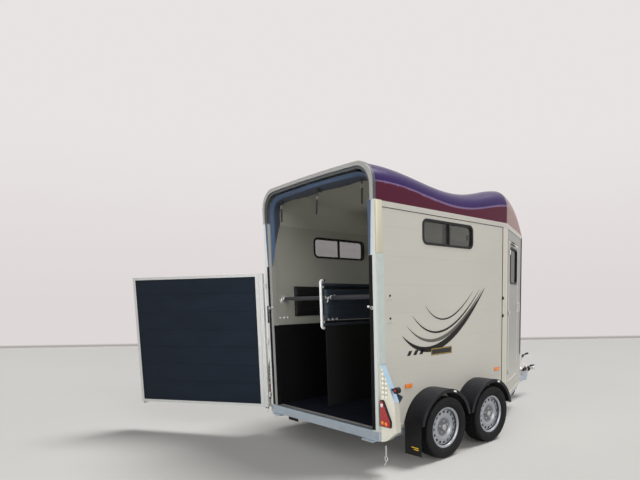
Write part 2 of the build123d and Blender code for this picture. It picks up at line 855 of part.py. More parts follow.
def make_groom_door():
    """Groom door with its window and handle, drawn along the right front corner panel."""
    end = groom_start + groom_width
    top = groom_bottom + groom_height
    inset = groom_panel_inset
    depth = wall - 2 * inset
    window = Window(groom_start + groom_window_side, top - groom_window_below_top - groom_window_height,
                    groom_window_width, groom_window_height, depth, False, 0)
    sunk = Pos(0, inset, 0)
    core = (groom_start + groom_edge, end - groom_edge, inset, wall - inset, groom_bottom + groom_edge,
            top - groom_edge)
    panel = block(*core) - sunk * window.hole()
    frame = block(groom_start, end, 0, wall, groom_bottom, top)
    frame = frame - block(core[0], core[1], -1, wall + 1, core[4], core[5])
    x = groom_start
    y = -groom_hinge_out
    half = hinge_barrel_length / 2
    leaf = hinge_lug / 2
    lugs = []
    for height in groom_hinge_heights():
        lug = cyl_z(x, y, height + half, height + half + hinge_lug, hinge_barrel_radius)
        lug = lug + block(x - groom_edge, x, y - leaf, y + leaf, height + half, height + half + hinge_lug)
        lug = lug + Pos(0, 0, -hinge_barrel_length - hinge_lug) * lug
        lug = lug + block(x - groom_edge, x - 2 * hinge_barrel_radius + leaf, y - leaf, 0,
                          height - half - hinge_lug, height + half + hinge_lug)
        lug = lug + cyl_z(x, y, height - half - hinge_lug, height + half + hinge_lug, hinge_pin_radius)
        lugs.append(on_corner(lug))
        tail = block(x, x + groom_edge - leaf, y - leaf, 0, height - half + hinge_slack,
                     height + half - hinge_slack)
        frame = frame + hinge_barrel(x, y, height, tail)
    save("groom_hinge_lugs", group(lugs))
    save("groom_door_frame", on_corner(frame))
    save("groom_door_panel", on_corner(panel))
    save("groom_window_frame", on_corner(sunk * window.frame()))
    save("groom_window_pane", on_corner(sunk * window.pane()))
    grip_x = end - 2 * groom_edge
    middle = groom_bottom + groom_handle_height
    low = middle - groom_handle_length / 2
    high = middle + groom_handle_length / 2
    handle = block(grip_x, grip_x + groom_edge, inset - 2 * hinge_lug, inset, low - hinge_lug,
                   high + hinge_lug)
    pull = block(grip_x + hinge_lug, grip_x + groom_edge - hinge_lug, -groom_handle_reach,
                 inset - 2 * hinge_lug, low, high)
    gap = block(grip_x, grip_x + groom_edge, -groom_handle_reach + 2 * hinge_lug, inset - 2 * hinge_lug,
                low + 3 * hinge_lug, high - 3 * hinge_lug)
    save("groom_door_handle", on_corner(handle + (pull - gap)))


housing_front = coupling_to_rear - housing_front_gap
housing_rear = housing_front - housing_length
housing_top = wall_bottom + housing_height
cup_radius = ball_radius + ball_clearance + cup_wall
neck_rear = -cup_radius - neck_length

# The handbrake lever, from its pivot to the end of its grip; the columns are distance behind the
# housing's front and height over its top
lever_points = ((170.0, 0.0), (35.0, 145.0), (-10.0, 198.0), (-140.0, 203.0))


def make_coupling():
    """Ball coupling, pull tube with bellows, overrun housing and the two levers."""
    ball = Pos(coupling_to_rear, 0, ball_height)
    cup = Sphere(cup_radius) + Pos(0, 0, -cup_skirt / 2) * Cylinder(cup_radius, cup_skirt)
    cup = cup - Pos(0, 0, -cup_skirt - cup_radius) * Box(4 * cup_radius, 4 * cup_radius, 2 * cup_radius)
    neck = block(neck_rear, -cup_radius / 2, -neck_width / 2, neck_width / 2,
                 pull_tube_rise - neck_height / 2, pull_tube_rise + neck_height / 2)
    neck = fillet(neck.edges().filter_by(Axis.X), neck_round)
    cavity = Sphere(ball_radius + ball_clearance) + Pos(0, 0, -cup_skirt) * Cylinder(
        ball_radius + ball_clearance, 2 * cup_skirt)
    head = cup + neck - cavity
    save("coupling_head", ball * head)
    seat = pull_tube_rise + neck_height / 2
    latch_bottom = cup_radius + latch_cup_gap
    latch = block(-latch_rear, latch_front, -latch_width / 2, latch_width / 2, latch_bottom,
                  latch_bottom + latch_thickness)
    latch = fillet(latch.edges().filter_by(Axis.Z), latch_width / 3)
    latch = latch + block(-latch_foot_rear, -latch_foot_front, -latch_foot_width / 2, latch_foot_width / 2,
                          seat, latch_bottom)
    save("coupling_handle", ball * latch)
    front = housing_front - coupling_to_rear
    pull = Pos((front + neck_rear) / 2, 0, pull_tube_rise) * Rot(0, 90, 0) * Cylinder(
        pull_tube_radius, neck_rear - front)
    housing = block(housing_rear, housing_front, -housing_width / 2, housing_width / 2, wall_bottom,
                    housing_top)
    housing = fillet(housing.edges().filter_by(Axis.X).sort_by(Axis.Z)[-2:], housing_round)
    housing = housing + ball * pull
    save("coupling_housing", housing)
    inner = pull_tube_radius + soft_gap
    pitch = (neck_rear - front - 2 * soft_gap) / bellows_folds
    ridges = [(inner, 0.0)]
    for fold in range(bellows_folds):
        ridges.append((bellows_radius, (fold + bellows_ridge_place) * pitch))
        ridges.append((bellows_valley_radius, (fold + bellows_valley_place) * pitch))
    ridges.append((inner, bellows_folds * pitch))
    save("bellows", ball * Pos(front + soft_gap, 0, pull_tube_rise) * Rot(0, 0, -90) * turned(ridges))
    pivot, elbow, knee, tip = [(housing_front - back, lever_side, housing_top + up)
                               for back, up in lever_points]
    lever = rod(pivot, elbow, lever_radius)
    grip = rod(elbow, knee, grip_radius) + Pos(*knee) * Sphere(grip_radius) + rod(knee, tip, grip_radius)
    save("handbrake_lever", lever + grip - housing)


def make_jockey():
    """Jockey wheel: outer tube in its clamp, crank, swivelling fork and wheel."""
    x = housing_front - jockey_setback
    y = jockey_offset
    inner = jockey_tube_radius - jockey_tube_wall
    tube = cyl_z(x, y, jockey_tube_bottom, jockey_tube_top, jockey_tube_radius)
    clamp_top = housing_top - jockey_clamp_drop
    clamp = block(x - jockey_clamp_width / 2, x + jockey_clamp_width / 2, housing_width / 2,
                  y + jockey_clamp_width / 2, clamp_top - jockey_clamp_height, clamp_top)
    tube = tube + clamp
    tube = tube - cyl_z(x, y, jockey_tube_bottom - 1, jockey_tube_top - moving_gap, inner)
    save("jockey_tube", tube)
    arm_z = jockey_tube_top + 2 * lever_radius
    crank = cyl_z(x, y, jockey_tube_top, arm_z + lever_radius, lever_radius)
    crank = crank + block(x - lever_radius, x + crank_arm + lever_radius, y - lever_radius, y + lever_radius,
                          arm_z - lever_radius / 2, arm_z + lever_radius / 2)
    crank = crank + cyl_z(x + crank_arm, y, arm_z, arm_z + crank_grip_length, crank_grip_radius)
    save("jockey_crank", crank)
    wheel_x = x - jockey_trail
    half = jockey_wheel_width / 2 + moving_gap
    top = 2 * jockey_wheel_radius + moving_gap
    pin = jockey_pin_radius
    fork = cyl_z(x, y, top, jockey_tube_top - 2 * moving_gap, inner - running_clearance)
    fork = fork + block(wheel_x - fork_half_top, x + fork_half_top, y - half - fork_plate,
                        y + half + fork_plate, top, top + fork_bridge)
    foot = jockey_wheel_radius - fork_half_foot
    for side in (y - half - fork_plate, y + half):
        blade = [(wheel_x - fork_half_foot, foot), (wheel_x + fork_half_foot, foot),
                 (x + fork_half_top, top), (wheel_x - fork_half_top, top)]
        fork = fork + prism_y(blade, side, side + fork_plate)
    reach = half + 2 * fork_plate
    fork = fork + cyl_y(wheel_x, y - reach, y + reach, jockey_wheel_radius, pin)
    save("jockey_fork", fork)
    rim = jockey_wheel_width / 2
    radius = jockey_wheel_radius
    hub = rim + jockey_hub_proud
    web = rim - jockey_web_recess
    band_inner = radius - jockey_band_depth
    profile = [(0, hub), (jockey_hub_radius, hub), (jockey_hub_radius, web), (band_inner, web),
               (band_inner + jockey_band_slope, rim), (radius - jockey_tread_round, rim),
               (radius, rim - jockey_tread_round)]
    wheel = turned(profile + [(r, -a) for r, a in reversed(profile)])
    wheel = wheel - cyl_y(0, -2 * rim, 2 * rim, 0, pin + running_clearance)
    save("jockey_wheel", Pos(wheel_x, y, jockey_wheel_radius) * wheel)


def make_partition():
    """Partition between the stalls: hooked upright, tube frame, column, pad and skirt."""
    hook = partition_rear + upright_hook
    path = FilletPolyline((hook, 0, upright_high), (partition_rear, 0, upright_high),
                          (partition_rear, 0, upright_low), (hook, 0, upright_low), radius=upright_bend)
    frame = tube_along(path, upright_radius)
    for height in (partition_low + pad_thickness, partition_high - pad_thickness):
        frame = frame + rod((partition_rear, 0, height), (partition_front, 0, height), frame_tube_radius)
    frame = frame + cyl_z(partition_front, 0, floor_top, column_top, column_radius)
    save("partition_frame", frame)
    pad = block(pad_start, partition_front - column_radius - soft_gap, -pad_thickness / 2, pad_thickness / 2,
                partition_low, partition_high)
    pad = fillet(pad.edges().filter_by(Axis.X), pad_thickness / 3)
    for height in (partition_low + pad_thickness, partition_high - pad_thickness):
        pad = pad - rod((partition_rear, 0, height), (partition_front, 0, height),
                        frame_tube_radius + soft_gap)
    save("partition_pad", pad)
    skirt = block(skirt_start, partition_front - 2 * column_radius, -skirt_thickness / 2, skirt_thickness / 2,
                  skirt_bottom, partition_low - soft_gap)
    save("partition_skirt", skirt)


def bar_rows():
    """Breech and breast bars; the columns are station, height and gap at the partition."""
    return ((bar_station, breech_height, bar_middle_gap),
            (partition_front, breast_height, column_radius + soft_gap))


def wall_bracket(station, height):
    """The plate and stub on the right wall that carry a bar."""
    plate = block(station - bracket_width / 2, station + bracket_width / 2, -half_inner,
                  -half_inner + bracket_plate, height - bracket_height / 2, height + bracket_height / 2)
    return plate + cyl_y(station, -half_inner, -half_inner + bar_side_gap - soft_gap, height,
                         bracket_stub_radius)


def make_padding():
    """Lining and pads on the walls, and the padded bars across the stalls."""
    end = plan_corners(wall + lining_thickness)[0][0] - soft_gap
    lining = block(post_front, end, -half_inner, -half_inner + lining_thickness, floor_top, lining_top)
    bars = []
    brackets = []
    for station, height, gap in bar_rows():
        bars.append(cyl_y(station, -half_inner + bar_side_gap, -gap, height, bar_radius))
        brackets.append(wall_bracket(station, height))
        lining = lining - block(station - bracket_width, station + bracket_width, -half_inner - 1,
                                -half_inner + wall, height - bracket_height, height + bracket_height)
    hook_end = -bar_middle_gap + soft_gap
    brackets.append(block(bar_station - bracket_stub_radius, bar_station + bracket_stub_radius, hook_end,
                          -pad_thickness / 2 - soft_gap, breech_height - bracket_stub_radius,
                          breech_height + bracket_stub_radius))
    save("kick_lining", both(lining))
    pad = block(wall_pad_start, wall_pad_start + wall_pad_length, -half_inner + soft_gap,
                -half_inner + wall_pad_thickness, wall_pad_low, wall_pad_high)
    pad = fillet(pad.faces().sort_by(Axis.Y)[-1].edges(), wall_pad_thickness / 3)
    save("wall_pads", both(pad))
    save("padded_bars", group(bars + [mirrored(bar) for bar in bars]))
    save("bar_brackets", group(brackets + [mirrored(piece) for piece in brackets]))


def make_curtain():
    """Rolled curtain behind the roof rim, its straps, and its edges down the posts."""
    reach = half_body - curtain_side_gap
    height = roof_rear_sections[0][2] - curtain_below_crown
    roll = cyl_y(curtain_station, -reach, reach, height, curtain_radius)
    rear = curtain_station - curtain_radius
    for y in (-reach + curtain_strap_width, 0, reach - curtain_strap_width):
        strap = block(rear - curtain_strap / 2, rear + curtain_strap, y - curtain_strap_width / 2,
                      y + curtain_strap_width / 2, height - curtain_drop + curtain_radius, height)
        roll = roll + strap
    edge = block(-post_rear + rail_sheet, post_front, post_inner - soft_gap - curtain_strap,
                 post_inner - soft_gap, curtain_edge_bottom, wall_top)
    save("curtain", group([roll, edge, mirrored(edge)]))


make_walls()
make_rails()
make_roof()
make_frame()
make_axles()
make_wheels()
make_guards()
make_rear_opening()
make_lamps()
make_chock()
make_rear_door()
make_groom_door()
make_coupling()
make_jockey()
make_partition()
make_padding()
make_curtain()
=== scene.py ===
import logging
import math
from dataclasses import dataclass
from enum import Enum
from typing import Callable, Sequence, Union

import bmesh
import bpy
import numpy as np
from mathutils import Matrix, Vector


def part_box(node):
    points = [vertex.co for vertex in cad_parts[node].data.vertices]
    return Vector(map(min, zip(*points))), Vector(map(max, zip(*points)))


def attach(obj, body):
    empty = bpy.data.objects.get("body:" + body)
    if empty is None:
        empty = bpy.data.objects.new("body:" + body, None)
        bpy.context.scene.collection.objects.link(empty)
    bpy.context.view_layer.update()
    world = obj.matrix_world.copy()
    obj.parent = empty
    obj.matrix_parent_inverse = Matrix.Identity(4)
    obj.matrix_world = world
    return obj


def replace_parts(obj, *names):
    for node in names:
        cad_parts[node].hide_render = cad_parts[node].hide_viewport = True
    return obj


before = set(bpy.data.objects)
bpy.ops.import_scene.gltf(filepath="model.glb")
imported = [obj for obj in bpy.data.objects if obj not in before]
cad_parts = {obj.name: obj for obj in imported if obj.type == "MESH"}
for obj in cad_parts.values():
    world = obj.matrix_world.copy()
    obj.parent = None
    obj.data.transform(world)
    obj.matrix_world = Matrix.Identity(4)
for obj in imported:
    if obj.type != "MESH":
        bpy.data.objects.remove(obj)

log = logging.getLogger("horse trailer")
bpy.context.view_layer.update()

# The rear plane of the body, the ground and the side walls' front corner, in the frame whose origin is the tow
# ball; the other sizes are the body's own, with heights over the ground
REAR = -4.2
GROUND = -0.4
HALF_BODY = 0.872
WALL = 0.03
SIDE_LENGTH = 2.017
NOSE_RUN = 1.151
NOSE_INSET = 0.493
WALL_BOTTOM = 0.340
WALL_TOP = 2.355
CORNER = REAR + SIDE_LENGTH
NOSE_EDGE = math.hypot(NOSE_RUN, NOSE_INSET)
TRACK_HALF = 1.0
AXLE_HEIGHT = 0.298
POST_OUTER = HALF_BODY + 0.021
DATUM = np.array([REAR, 0.0, GROUND])
# Straight out of the right side wall, and how many points each round edge has
OUTWARD = (0, -1, 0)
EDGE_POINTS = 3
# Added to a coordinate before a wave is taken of it
PHASE = 10.0

Material = bpy.types.Material
Node = bpy.types.Node
Object = bpy.types.Object
Socket = bpy.types.NodeSocket
Pair = tuple[float, float]
Triple = tuple[float, float, float]
Colour = Triple


def at(x: float, y: float, z: float) -> Triple:
    """A point given from the rear plane, the centre line and the ground.

    Args:
        x: metres forward of the body's rear plane.
        y: metres to the left of the centre line.
        z: metres above the ground.

    Returns:
        The same point in the frame.
    """
    return (x + REAR, y, z + GROUND)


def screen(red: int, green: int, blue: int) -> Colour:
    """A colour as a screen shows it, 0 to 255, turned into the light that a shader takes.

    Args:
        red: the red part.
        green: the green part.
        blue: the blue part.

    Returns:
        The three linear parts.
    """
    parts = np.array([red, green, blue]) / 255.0
    low = parts / 12.92
    high = ((parts + 0.055) / 1.055) ** 2.4
    linear = np.where(parts <= 0.04045, low, high)
    return (float(linear[0]), float(linear[1]), float(linear[2]))


class Side(Enum):
    """A side of the trailer, with the sign of its y."""

    LEFT = 1
    RIGHT = -1


# Shaders

Operand = Union["Value", Socket, float]


def operator(operation: str, swapped: bool = False) -> Callable[..., "Value"]:
    """A method of Value that adds one Math node.

    Args:
        operation: the node's operation.
        swapped: whether the value goes in last.

    Returns:
        The method.
    """

    def method(self: "Value", *others: Operand) -> "Value":
        """Add the node.

        Args:
            others: the other operands.

        Returns:
            The node's result.
        """
        return self.maths(operation, *((*others, self) if swapped else (self, *others)))

    return method


class Value:
    """A number that a shader works out; Python's operators on it add Math nodes."""

    def __init__(self, graph: "Graph", socket: Socket) -> None:
        """Wrap an output socket.

        Args:
            graph: the nodes that it belongs to.
            socket: the socket.
        """
        self.graph = graph
        self.socket = socket

    def maths(self, operation: str, *operands: Operand) -> "Value":
        """Add a Math node.

        Args:
            operation: the node's operation.
            operands: what goes into its sockets, in order.

        Returns:
            The node's result.
        """
        node = self.graph.node("ShaderNodeMath", {"operation": operation}, dict(enumerate(operands)))
        return Value(self.graph, node.outputs[0])

    __add__ = __radd__ = operator("ADD")
    __sub__ = operator("SUBTRACT")
    __rsub__ = operator("SUBTRACT", swapped=True)
    __mul__ = __rmul__ = operator("MULTIPLY")
    __pow__ = operator("POWER")
    most = operator("MAXIMUM")
    size = operator("ABSOLUTE")
    sine = operator("SINE")

    def wave(self, pitch: float) -> "Value":
        """A triangle wave.

        Args:
            pitch: the distance between its crests.

        Returns:
            The wave, from 0 to half the pitch.
        """
        return self.maths("PINGPONG", self, pitch / 2)

    def step(self, low: float, high: float) -> "Value":
        """Rise smoothly from 0 at low to 1 at high.

        Args:
            low: where the rise starts.
            high: where it ends.

        Returns:
            The eased step.
        """
        if low > high:
            return 1.0 - self.step(high, low)
        node = self.graph.node("ShaderNodeMapRange", {"interpolation_type": "SMOOTHSTEP"},
                               {0: self, 1: low, 2: high})
        return Value(self.graph, node.outputs[0])

    def line(self, centre: float, half: float, soft: float) -> "Value":
        """1 within half of the centre, falling to 0 over the soft edge.

        Args:
            centre: the middle of the band.
            half: half of its width.
            soft: width of its edge.

        Returns:
            The band as a mask.
        """
        return (self - centre).size().step(half + soft, half)


class Graph:
    """The nodes of one material or world."""

    def __init__(self, owner: Union[Material, bpy.types.World]) -> None:
        """Empty the nodes of a material or a world and add its output.

        Args:
            owner: the material or world.
        """
        self.owner = owner
        owner.use_nodes = True
        self.tree = owner.node_tree
        self.tree.nodes.clear()
        self.output = self.tree.nodes.new(f"ShaderNodeOutput{type(owner).__name__}")

    def node(self, kind: str, settings: dict | None = None, sockets: dict | None = None) -> Node:
        """Add a node of any kind.

        Args:
            kind: the node's type.
            settings: its own settings, set first.
            sockets: values or links of its sockets, by name or number.

        Returns:
            The node.
        """
        made = self.tree.nodes.new(kind)
        for key, value in (settings or {}).items():
            setattr(made, key, value)
        for key, value in (sockets or {}).items():
            socket = made.inputs[key]
            if isinstance(value, Value):
                self.tree.links.new(value.socket, socket)
            elif isinstance(value, Socket):
                self.tree.links.new(value, socket)
            elif socket.type == "RGBA":
                socket.default_value = (*value, 1.0)
            else:
                socket.default_value = value
        return made

    def place(self, stretch: Triple = (1, 1, 1)) -> Socket:
        """Object coordinates, stretched.

        Args:
            stretch: how much each axis is multiplied by.

        Returns:
            The vector socket.
        """
        coordinates = self.node("ShaderNodeTexCoord").outputs["Object"]
        if stretch == (1, 1, 1):
            return coordinates
        return self.node("ShaderNodeMapping", {}, {"Vector": coordinates, "Scale": stretch}).outputs[0]

    def axes(self, vector: Socket | None = None) -> tuple[Value, Value, Value]:
        """The three parts of a vector, or of the place on the object.

        Args:
            vector: a vector socket, or None for Object coordinates.

        Returns:
            x, y and z.
        """
        parts = self.node("ShaderNodeSeparateXYZ", {}, {0: vector or self.place()}).outputs
        return (Value(self, parts[0]), Value(self, parts[1]), Value(self, parts[2]))

    def facing(self) -> tuple[Value, Value, Value]:
        """The surface's own direction.

        Returns:
            Its x, y and z.
        """
        return self.axes(self.node("ShaderNodeNewGeometry").outputs["Normal"])

    def inward(self, centre: Triple) -> Value:
        """1 on faces that look towards a point, 0 on the others.

        The distance from the point along the surface's own direction is negative on inner faces.

        Args:
            centre: the point, in the frame.

        Returns:
            The mask.
        """
        x, y, z = self.axes()
        nx, ny, nz = self.facing()
        along = (x - centre[0]) * nx + (y - centre[1]) * ny + (z - centre[2]) * nz
        return along.step(0.02, -0.02)

    def noise(self, scale: float, detail: float = 2.0, stretch: Triple = (1, 1, 1)) -> Value:
        """Soft noise between about 0 and 1.

        Args:
            scale: how many features to the metre.
            detail: how many finer layers.
            stretch: how the pattern is stretched along each axis.

        Returns:
            The noise.
        """
        node = self.node("ShaderNodeTexNoise", {}, {"Vector": self.place(stretch), "Scale": scale,
                                                    "Detail": detail, "Roughness": 0.55})
        return Value(self, node.outputs[0])

    def cells(self, scale: float, stretch: Triple = (1, 1, 1)) -> Value:
        """A grey that is the same over each of many irregular cells.

        Args:
            scale: how many cells to the metre.
            stretch: how the pattern is stretched along each axis.

        Returns:
            The grey of the cell.
        """
        node = self.node("ShaderNodeTexVoronoi", {}, {"Vector": self.place(stretch), "Scale": scale})
        return self.axes(node.outputs["Color"])[0]

    def mix(self, factor: Operand, first: object, second: object) -> Socket:
        """A colour between two, each a colour or a colour socket.

        Args:
            factor: 0 for the first, 1 for the second.
            first: the first colour.
            second: the second colour.

        Returns:
            The mixed colour's socket.
        """
        node = self.node("ShaderNodeMix", {"data_type": "RGBA"}, {0: factor, 6: first, 7: second})
        return node.outputs[2]

    def bump(self, height: Value, depth: float, strength: float = 1.0) -> Socket:
        """A normal bent by a height between 0 and 1.

        Args:
            height: the height.
            depth: how deep a height of 1 is, in metres.
            strength: how much of it shows.

        Returns:
            The normal's socket.
        """
        node = self.node("ShaderNodeBump", {}, {"Strength": strength, "Distance": depth, "Height": height})
        return node.outputs[0]

    def surface(self, **sockets: object) -> Material:
        """Finish the material with one Principled shader.

        Args:
            sockets: its sockets, with a single underscore for each space.

        Returns:
            The material.
        """
        named = {key.replace("_", " "): value for key, value in sockets.items()}
        return self.show(self.node("ShaderNodeBsdfPrincipled", {}, named))

    def show(self, shader: Node) -> Union[Material, bpy.types.World]:
        """Send a shader to the output.

        Args:
            shader: the shader's node.

        Returns:
            The material or world.
        """
        self.tree.links.new(shader.outputs[0], self.output.inputs[0])
        return self.owner

    def blend(self, mask: Value, first: Node, second: Node) -> Node:
        """The first shader where the mask is 0 and the second where it is 1.

        Args:
            mask: the mask.
            first: the first shader's node.
            second: the second shader's node.

        Returns:
            The Mix Shader node.
        """
        return self.node("ShaderNodeMixShader", {}, {0: mask, 1: first.outputs[0], 2: second.outputs[0]})

    def around(self, axle: Pair) -> Value:
        """The distance from a line along y.

        Args:
            axle: the line's x and z.

        Returns:
            The distance.
        """
        x, _, z = self.axes()
        return ((x - axle[0]) ** 2.0 + (z - axle[1]) ** 2.0) ** 0.5


def tint(colour: Colour, factor: float) -> Colour:
    """A colour made darker or lighter.

    Args:
        colour: the colour.
        factor: what each part is multiplied by.

    Returns:
        The new colour.
    """
    return (min(1.0, colour[0] * factor), min(1.0, colour[1] * factor), min(1.0, colour[2] * factor))


@dataclass(frozen=True)
class Finish:
    """One finish of a surface."""

    name: str
    colour: Colour
    roughness: float = 0.5

    def make(self) -> Material:
        """Build the material; each kind of finish has its own nodes.

        Returns:
            The material.
        """
        raise NotImplementedError

    def graph(self) -> Graph:
        """Start the material.

        Returns:
            The nodes of a new material of this name.
        """
        return Graph(bpy.data.materials.new(self.name))

    def shades(self, graph: Graph, factor: Operand, low: float, high: float) -> Socket:
        """The finish's colour between two tints of itself.

        Args:
            graph: the material's nodes.
            factor: 0 for the first tint, 1 for the second.
            low: the first tint.
            high: the second tint.

        Returns:
            The mixed colour's socket.
        """
        return graph.mix(factor, tint(self.colour, low), tint(self.colour, high))

    def finished(self, graph: Graph, colour: Socket, rough: Operand, bump: tuple[Value, float, float],
                 **sockets: object) -> Material:
        """Finish the material with what every finish has.

        Args:
            graph: the material's nodes.
            colour: the colour.
            rough: what is added to the roughness.
            bump: a height, how deep 1 is in metres, and how much of it shows.
            sockets: further sockets of the shader.

        Returns:
            The material.
        """
        return graph.surface(Base_Color=colour, Roughness=rough + self.roughness, Normal=graph.bump(*bump), **sockets)

    def material(self) -> Material:
        """Build the material the first time that it is asked for.

        Returns:
            The material.
        """
        return bpy.data.materials.get(self.name) or self.make()


@dataclass(frozen=True)
class PanelPaint(Finish):
    """Satin paint on aluminium planks that run along the body."""

    plank: float = 0.25
    joint: float = 0.0012
    inner_colour: Colour = (0.1, 0.1, 0.1)
    # Painted shade: the grey that the corner panels and the front wall are turned towards.
    nose_colour: Colour = screen(112, 114, 112)
    centre: Triple = (-2.6, 0.0, 0.9)

    def make(self) -> Material:
        """Fine joints every plank, dust near the foot, a greyer tone on the faces inside, and painted shade on the
        corner panels and the front, deeper higher up.
        """
        graph = self.graph()
        x, _, z = graph.axes()
        joint = (z + PHASE).wave(self.plank).step(self.joint * 2, self.joint * 0.4)
        tone = graph.noise(1.3, 2.0, (0.4, 0.4, 1.0))
        grain = graph.noise(900, 1.0)
        dust = z.step(0.35, -0.1) * 0.25
        colour = self.shades(graph, tone.step(0.3, 0.7), 0.96, 1.04)
        colour = graph.mix(dust, colour, tint(self.colour, 0.82))
        colour = graph.mix(joint * 0.22, colour, tint(self.colour, 0.45))
        # Painted shade: forward of the side wall's corner the paint turns greyer, more so higher up.
        nose = x.step(CORNER + 0.004, CORNER + 0.012)
        colour = graph.mix(nose * z.step(0.0, 0.9) * 0.45 + nose * 0.35, colour, self.nose_colour)
        inside = graph.inward(self.centre)
        colour = graph.mix(inside, colour, graph.mix(tone, tint(self.inner_colour, 0.85), self.inner_colour))
        height = (1.0 - joint) * 0.9 + grain * 0.02
        return self.finished(graph, colour, tone * 0.08, (height, 0.0006, 0.8), Coat_Weight=0.25, Coat_Roughness=0.2)


@dataclass(frozen=True)
class Gelcoat(Finish):
    """Glossy metallic gel coat of the roof: one tone above the crease and another below it."""

    low_colour: Colour = (0.1, 0.01, 0.03)
    # Painted reflection: a warm tone on the roof's nose.
    nose_colour: Colour = (0.2, 0.05, 0.05)
    lining_colour: Colour = (0.2, 0.2, 0.18)
    # Painted highlight along the roof's crease.
    crease_colour: Colour = screen(150, 130, 168)
    centre: Triple = (-2.6, 0.0, 1.9)

    def make(self) -> Material:
        """The tone turns with the surface's own slope, a painted highlight runs along the crease, a painted warm
        reflection lies on the nose, fine flakes glitter, and the inside is lined.
        """
        graph = self.graph()
        x, _, _ = graph.axes()
        _, _, up = graph.facing()
        flake = graph.cells(2600)
        swirl = graph.noise(3.0, 3.0)
        slope = up + (swirl - 0.5) * 0.03
        colour = graph.mix(slope.step(0.08, 0.16), self.low_colour, self.colour)
        # Painted highlight: a light line where the slope passes the crease.
        colour = graph.mix(slope.line(0.12, 0.02, 0.03) * 0.5, colour, self.crease_colour)
        # Painted reflection: a warm tone spreads over the nose, forward of the side wall's corner.
        nose = (x + swirl * 0.06).step(CORNER + 0.02, CORNER + 0.16)
        colour = graph.mix(nose * 0.75, colour, self.nose_colour)
        colour = graph.mix(flake * 0.10, colour, tint(self.colour, 1.8))
        inside = graph.inward(self.centre)
        felt = graph.noise(160.0, 3.0)
        colour = graph.mix(inside, colour, graph.mix(felt, tint(self.lining_colour, 0.8), self.lining_colour))
        outside = 1.0 - inside
        return self.finished(graph, colour, flake * 0.08 + inside * 0.5, (graph.noise(9.0, 1.0), 0.0006, 0.3),
                             Metallic=outside * 0.15, Specular_IOR_Level=0.15, Coat_Weight=outside * 0.14,
                             Coat_Roughness=0.04)


@dataclass(frozen=True)
class PostMetal(Finish):
    """Satin post profile whose outer strip is bluish zinc up to a joint and pale above it."""

    joint: float = 1.91 + GROUND
    strip_colour: Colour = screen(196, 206, 202)

    def make(self) -> Material:
        """A drawn grain, with a cooler tone outside the post and below the joint."""
        graph = self.graph()
        x, y, z = graph.axes()
        lines = graph.noise(700.0, 2.0, (1.0, 1.0, 0.02))
        cloud = graph.noise(14.0, 3.0)
        strip = y.size().step(POST_OUTER - 0.0005, POST_OUTER + 0.0005) * z.step(self.joint + 0.002, self.joint)
        colour = self.shades(graph, lines * 0.4 + cloud * 0.3, 0.9, 1.06)
        colour = graph.mix(strip, colour, graph.mix(cloud, tint(self.strip_colour, 0.85), self.strip_colour))
        inner = y.size().step(0.8080, 0.8074) * x.step(REAR - 0.006, REAR - 0.002)
        lined = graph.mix(z.step(0.857, 0.861), (0.0015, 0.0015, 0.0018), screen(150, 150, 142))
        colour = graph.mix(inner, colour, lined)
        return self.finished(graph, colour, lines * 0.12, (lines, 0.0002, 0.4), Metallic=(1.0 - inner) * 0.4)


@dataclass(frozen=True)
class Partition(Finish):
    """Bright tube at the rear and dark coated tube forward of it."""

    coat_from: float = REAR + 0.080

    def make(self) -> Material:
        """The coat starts at one station; both have a drawn grain."""
        graph = self.graph()
        x, _, _ = graph.axes()
        lines = graph.noise(500.0, 2.0, (0.1, 1.0, 0.1))
        coat = x.step(self.coat_from, self.coat_from + 0.003)
        colour = graph.mix(lines * 0.5, tint(self.colour, 0.88), self.colour)
        colour = graph.mix(coat, colour, graph.mix(lines, (0.006, 0.008, 0.012), (0.012, 0.015, 0.022)))
        return self.finished(graph, colour, lines * 0.1, (lines, 0.0002, 0.4), Metallic=(1.0 - coat) * 0.3)


@dataclass(frozen=True)
class Bracket(Finish):
    """Galvanised lamp bracket whose rear face is pale and pierced by rows of small holes."""

    spangle: float = 220.0
    face_colour: Colour = screen(206, 203, 190)
    hole_pitch: float = 0.040

    def make(self) -> Material:
        """Spangle on the edges; on the face that looks back, round dark holes above the lamp."""
        graph = self.graph()
        _, y, z = graph.axes()
        nx, _, _ = graph.facing()
        crystal = graph.cells(self.spangle)
        bloom = graph.noise(16.0, 3.0)
        pitch = self.hole_pitch
        out = y.size() - POST_OUTER
        across = (out - 0.028).wave(pitch)
        along = (z + PHASE).wave(pitch)
        hole = (across * across + along * along) ** 0.5
        zone = z.step(0.665 + GROUND, 0.672 + GROUND) * z.step(0.930 + GROUND, 0.920 + GROUND)
        zone = zone * out.step(0.088, 0.084) * out.step(0.008, 0.012)
        back = nx.step(-0.7, -0.9)
        colour = self.shades(graph, crystal * 0.5, 0.85, 1.1)
        pale = graph.mix(bloom, tint(self.face_colour, 0.88), self.face_colour)
        colour = graph.mix(back.most(z.step(0.66 + GROUND, 0.63 + GROUND)), colour, pale)
        colour = graph.mix(zone * back * 0.45, colour, (0.16, 0.16, 0.13))
        pierced = hole.step(pitch * 0.36, pitch * 0.30) * zone * back
        colour = graph.mix(pierced, colour, screen(226, 222, 204))
        return self.finished(graph, colour, crystal * 0.15, (graph.noise(220.0, 2.0), 0.0004, 0.5),
                             Metallic=(1.0 - back) * 0.5 + 0.1)


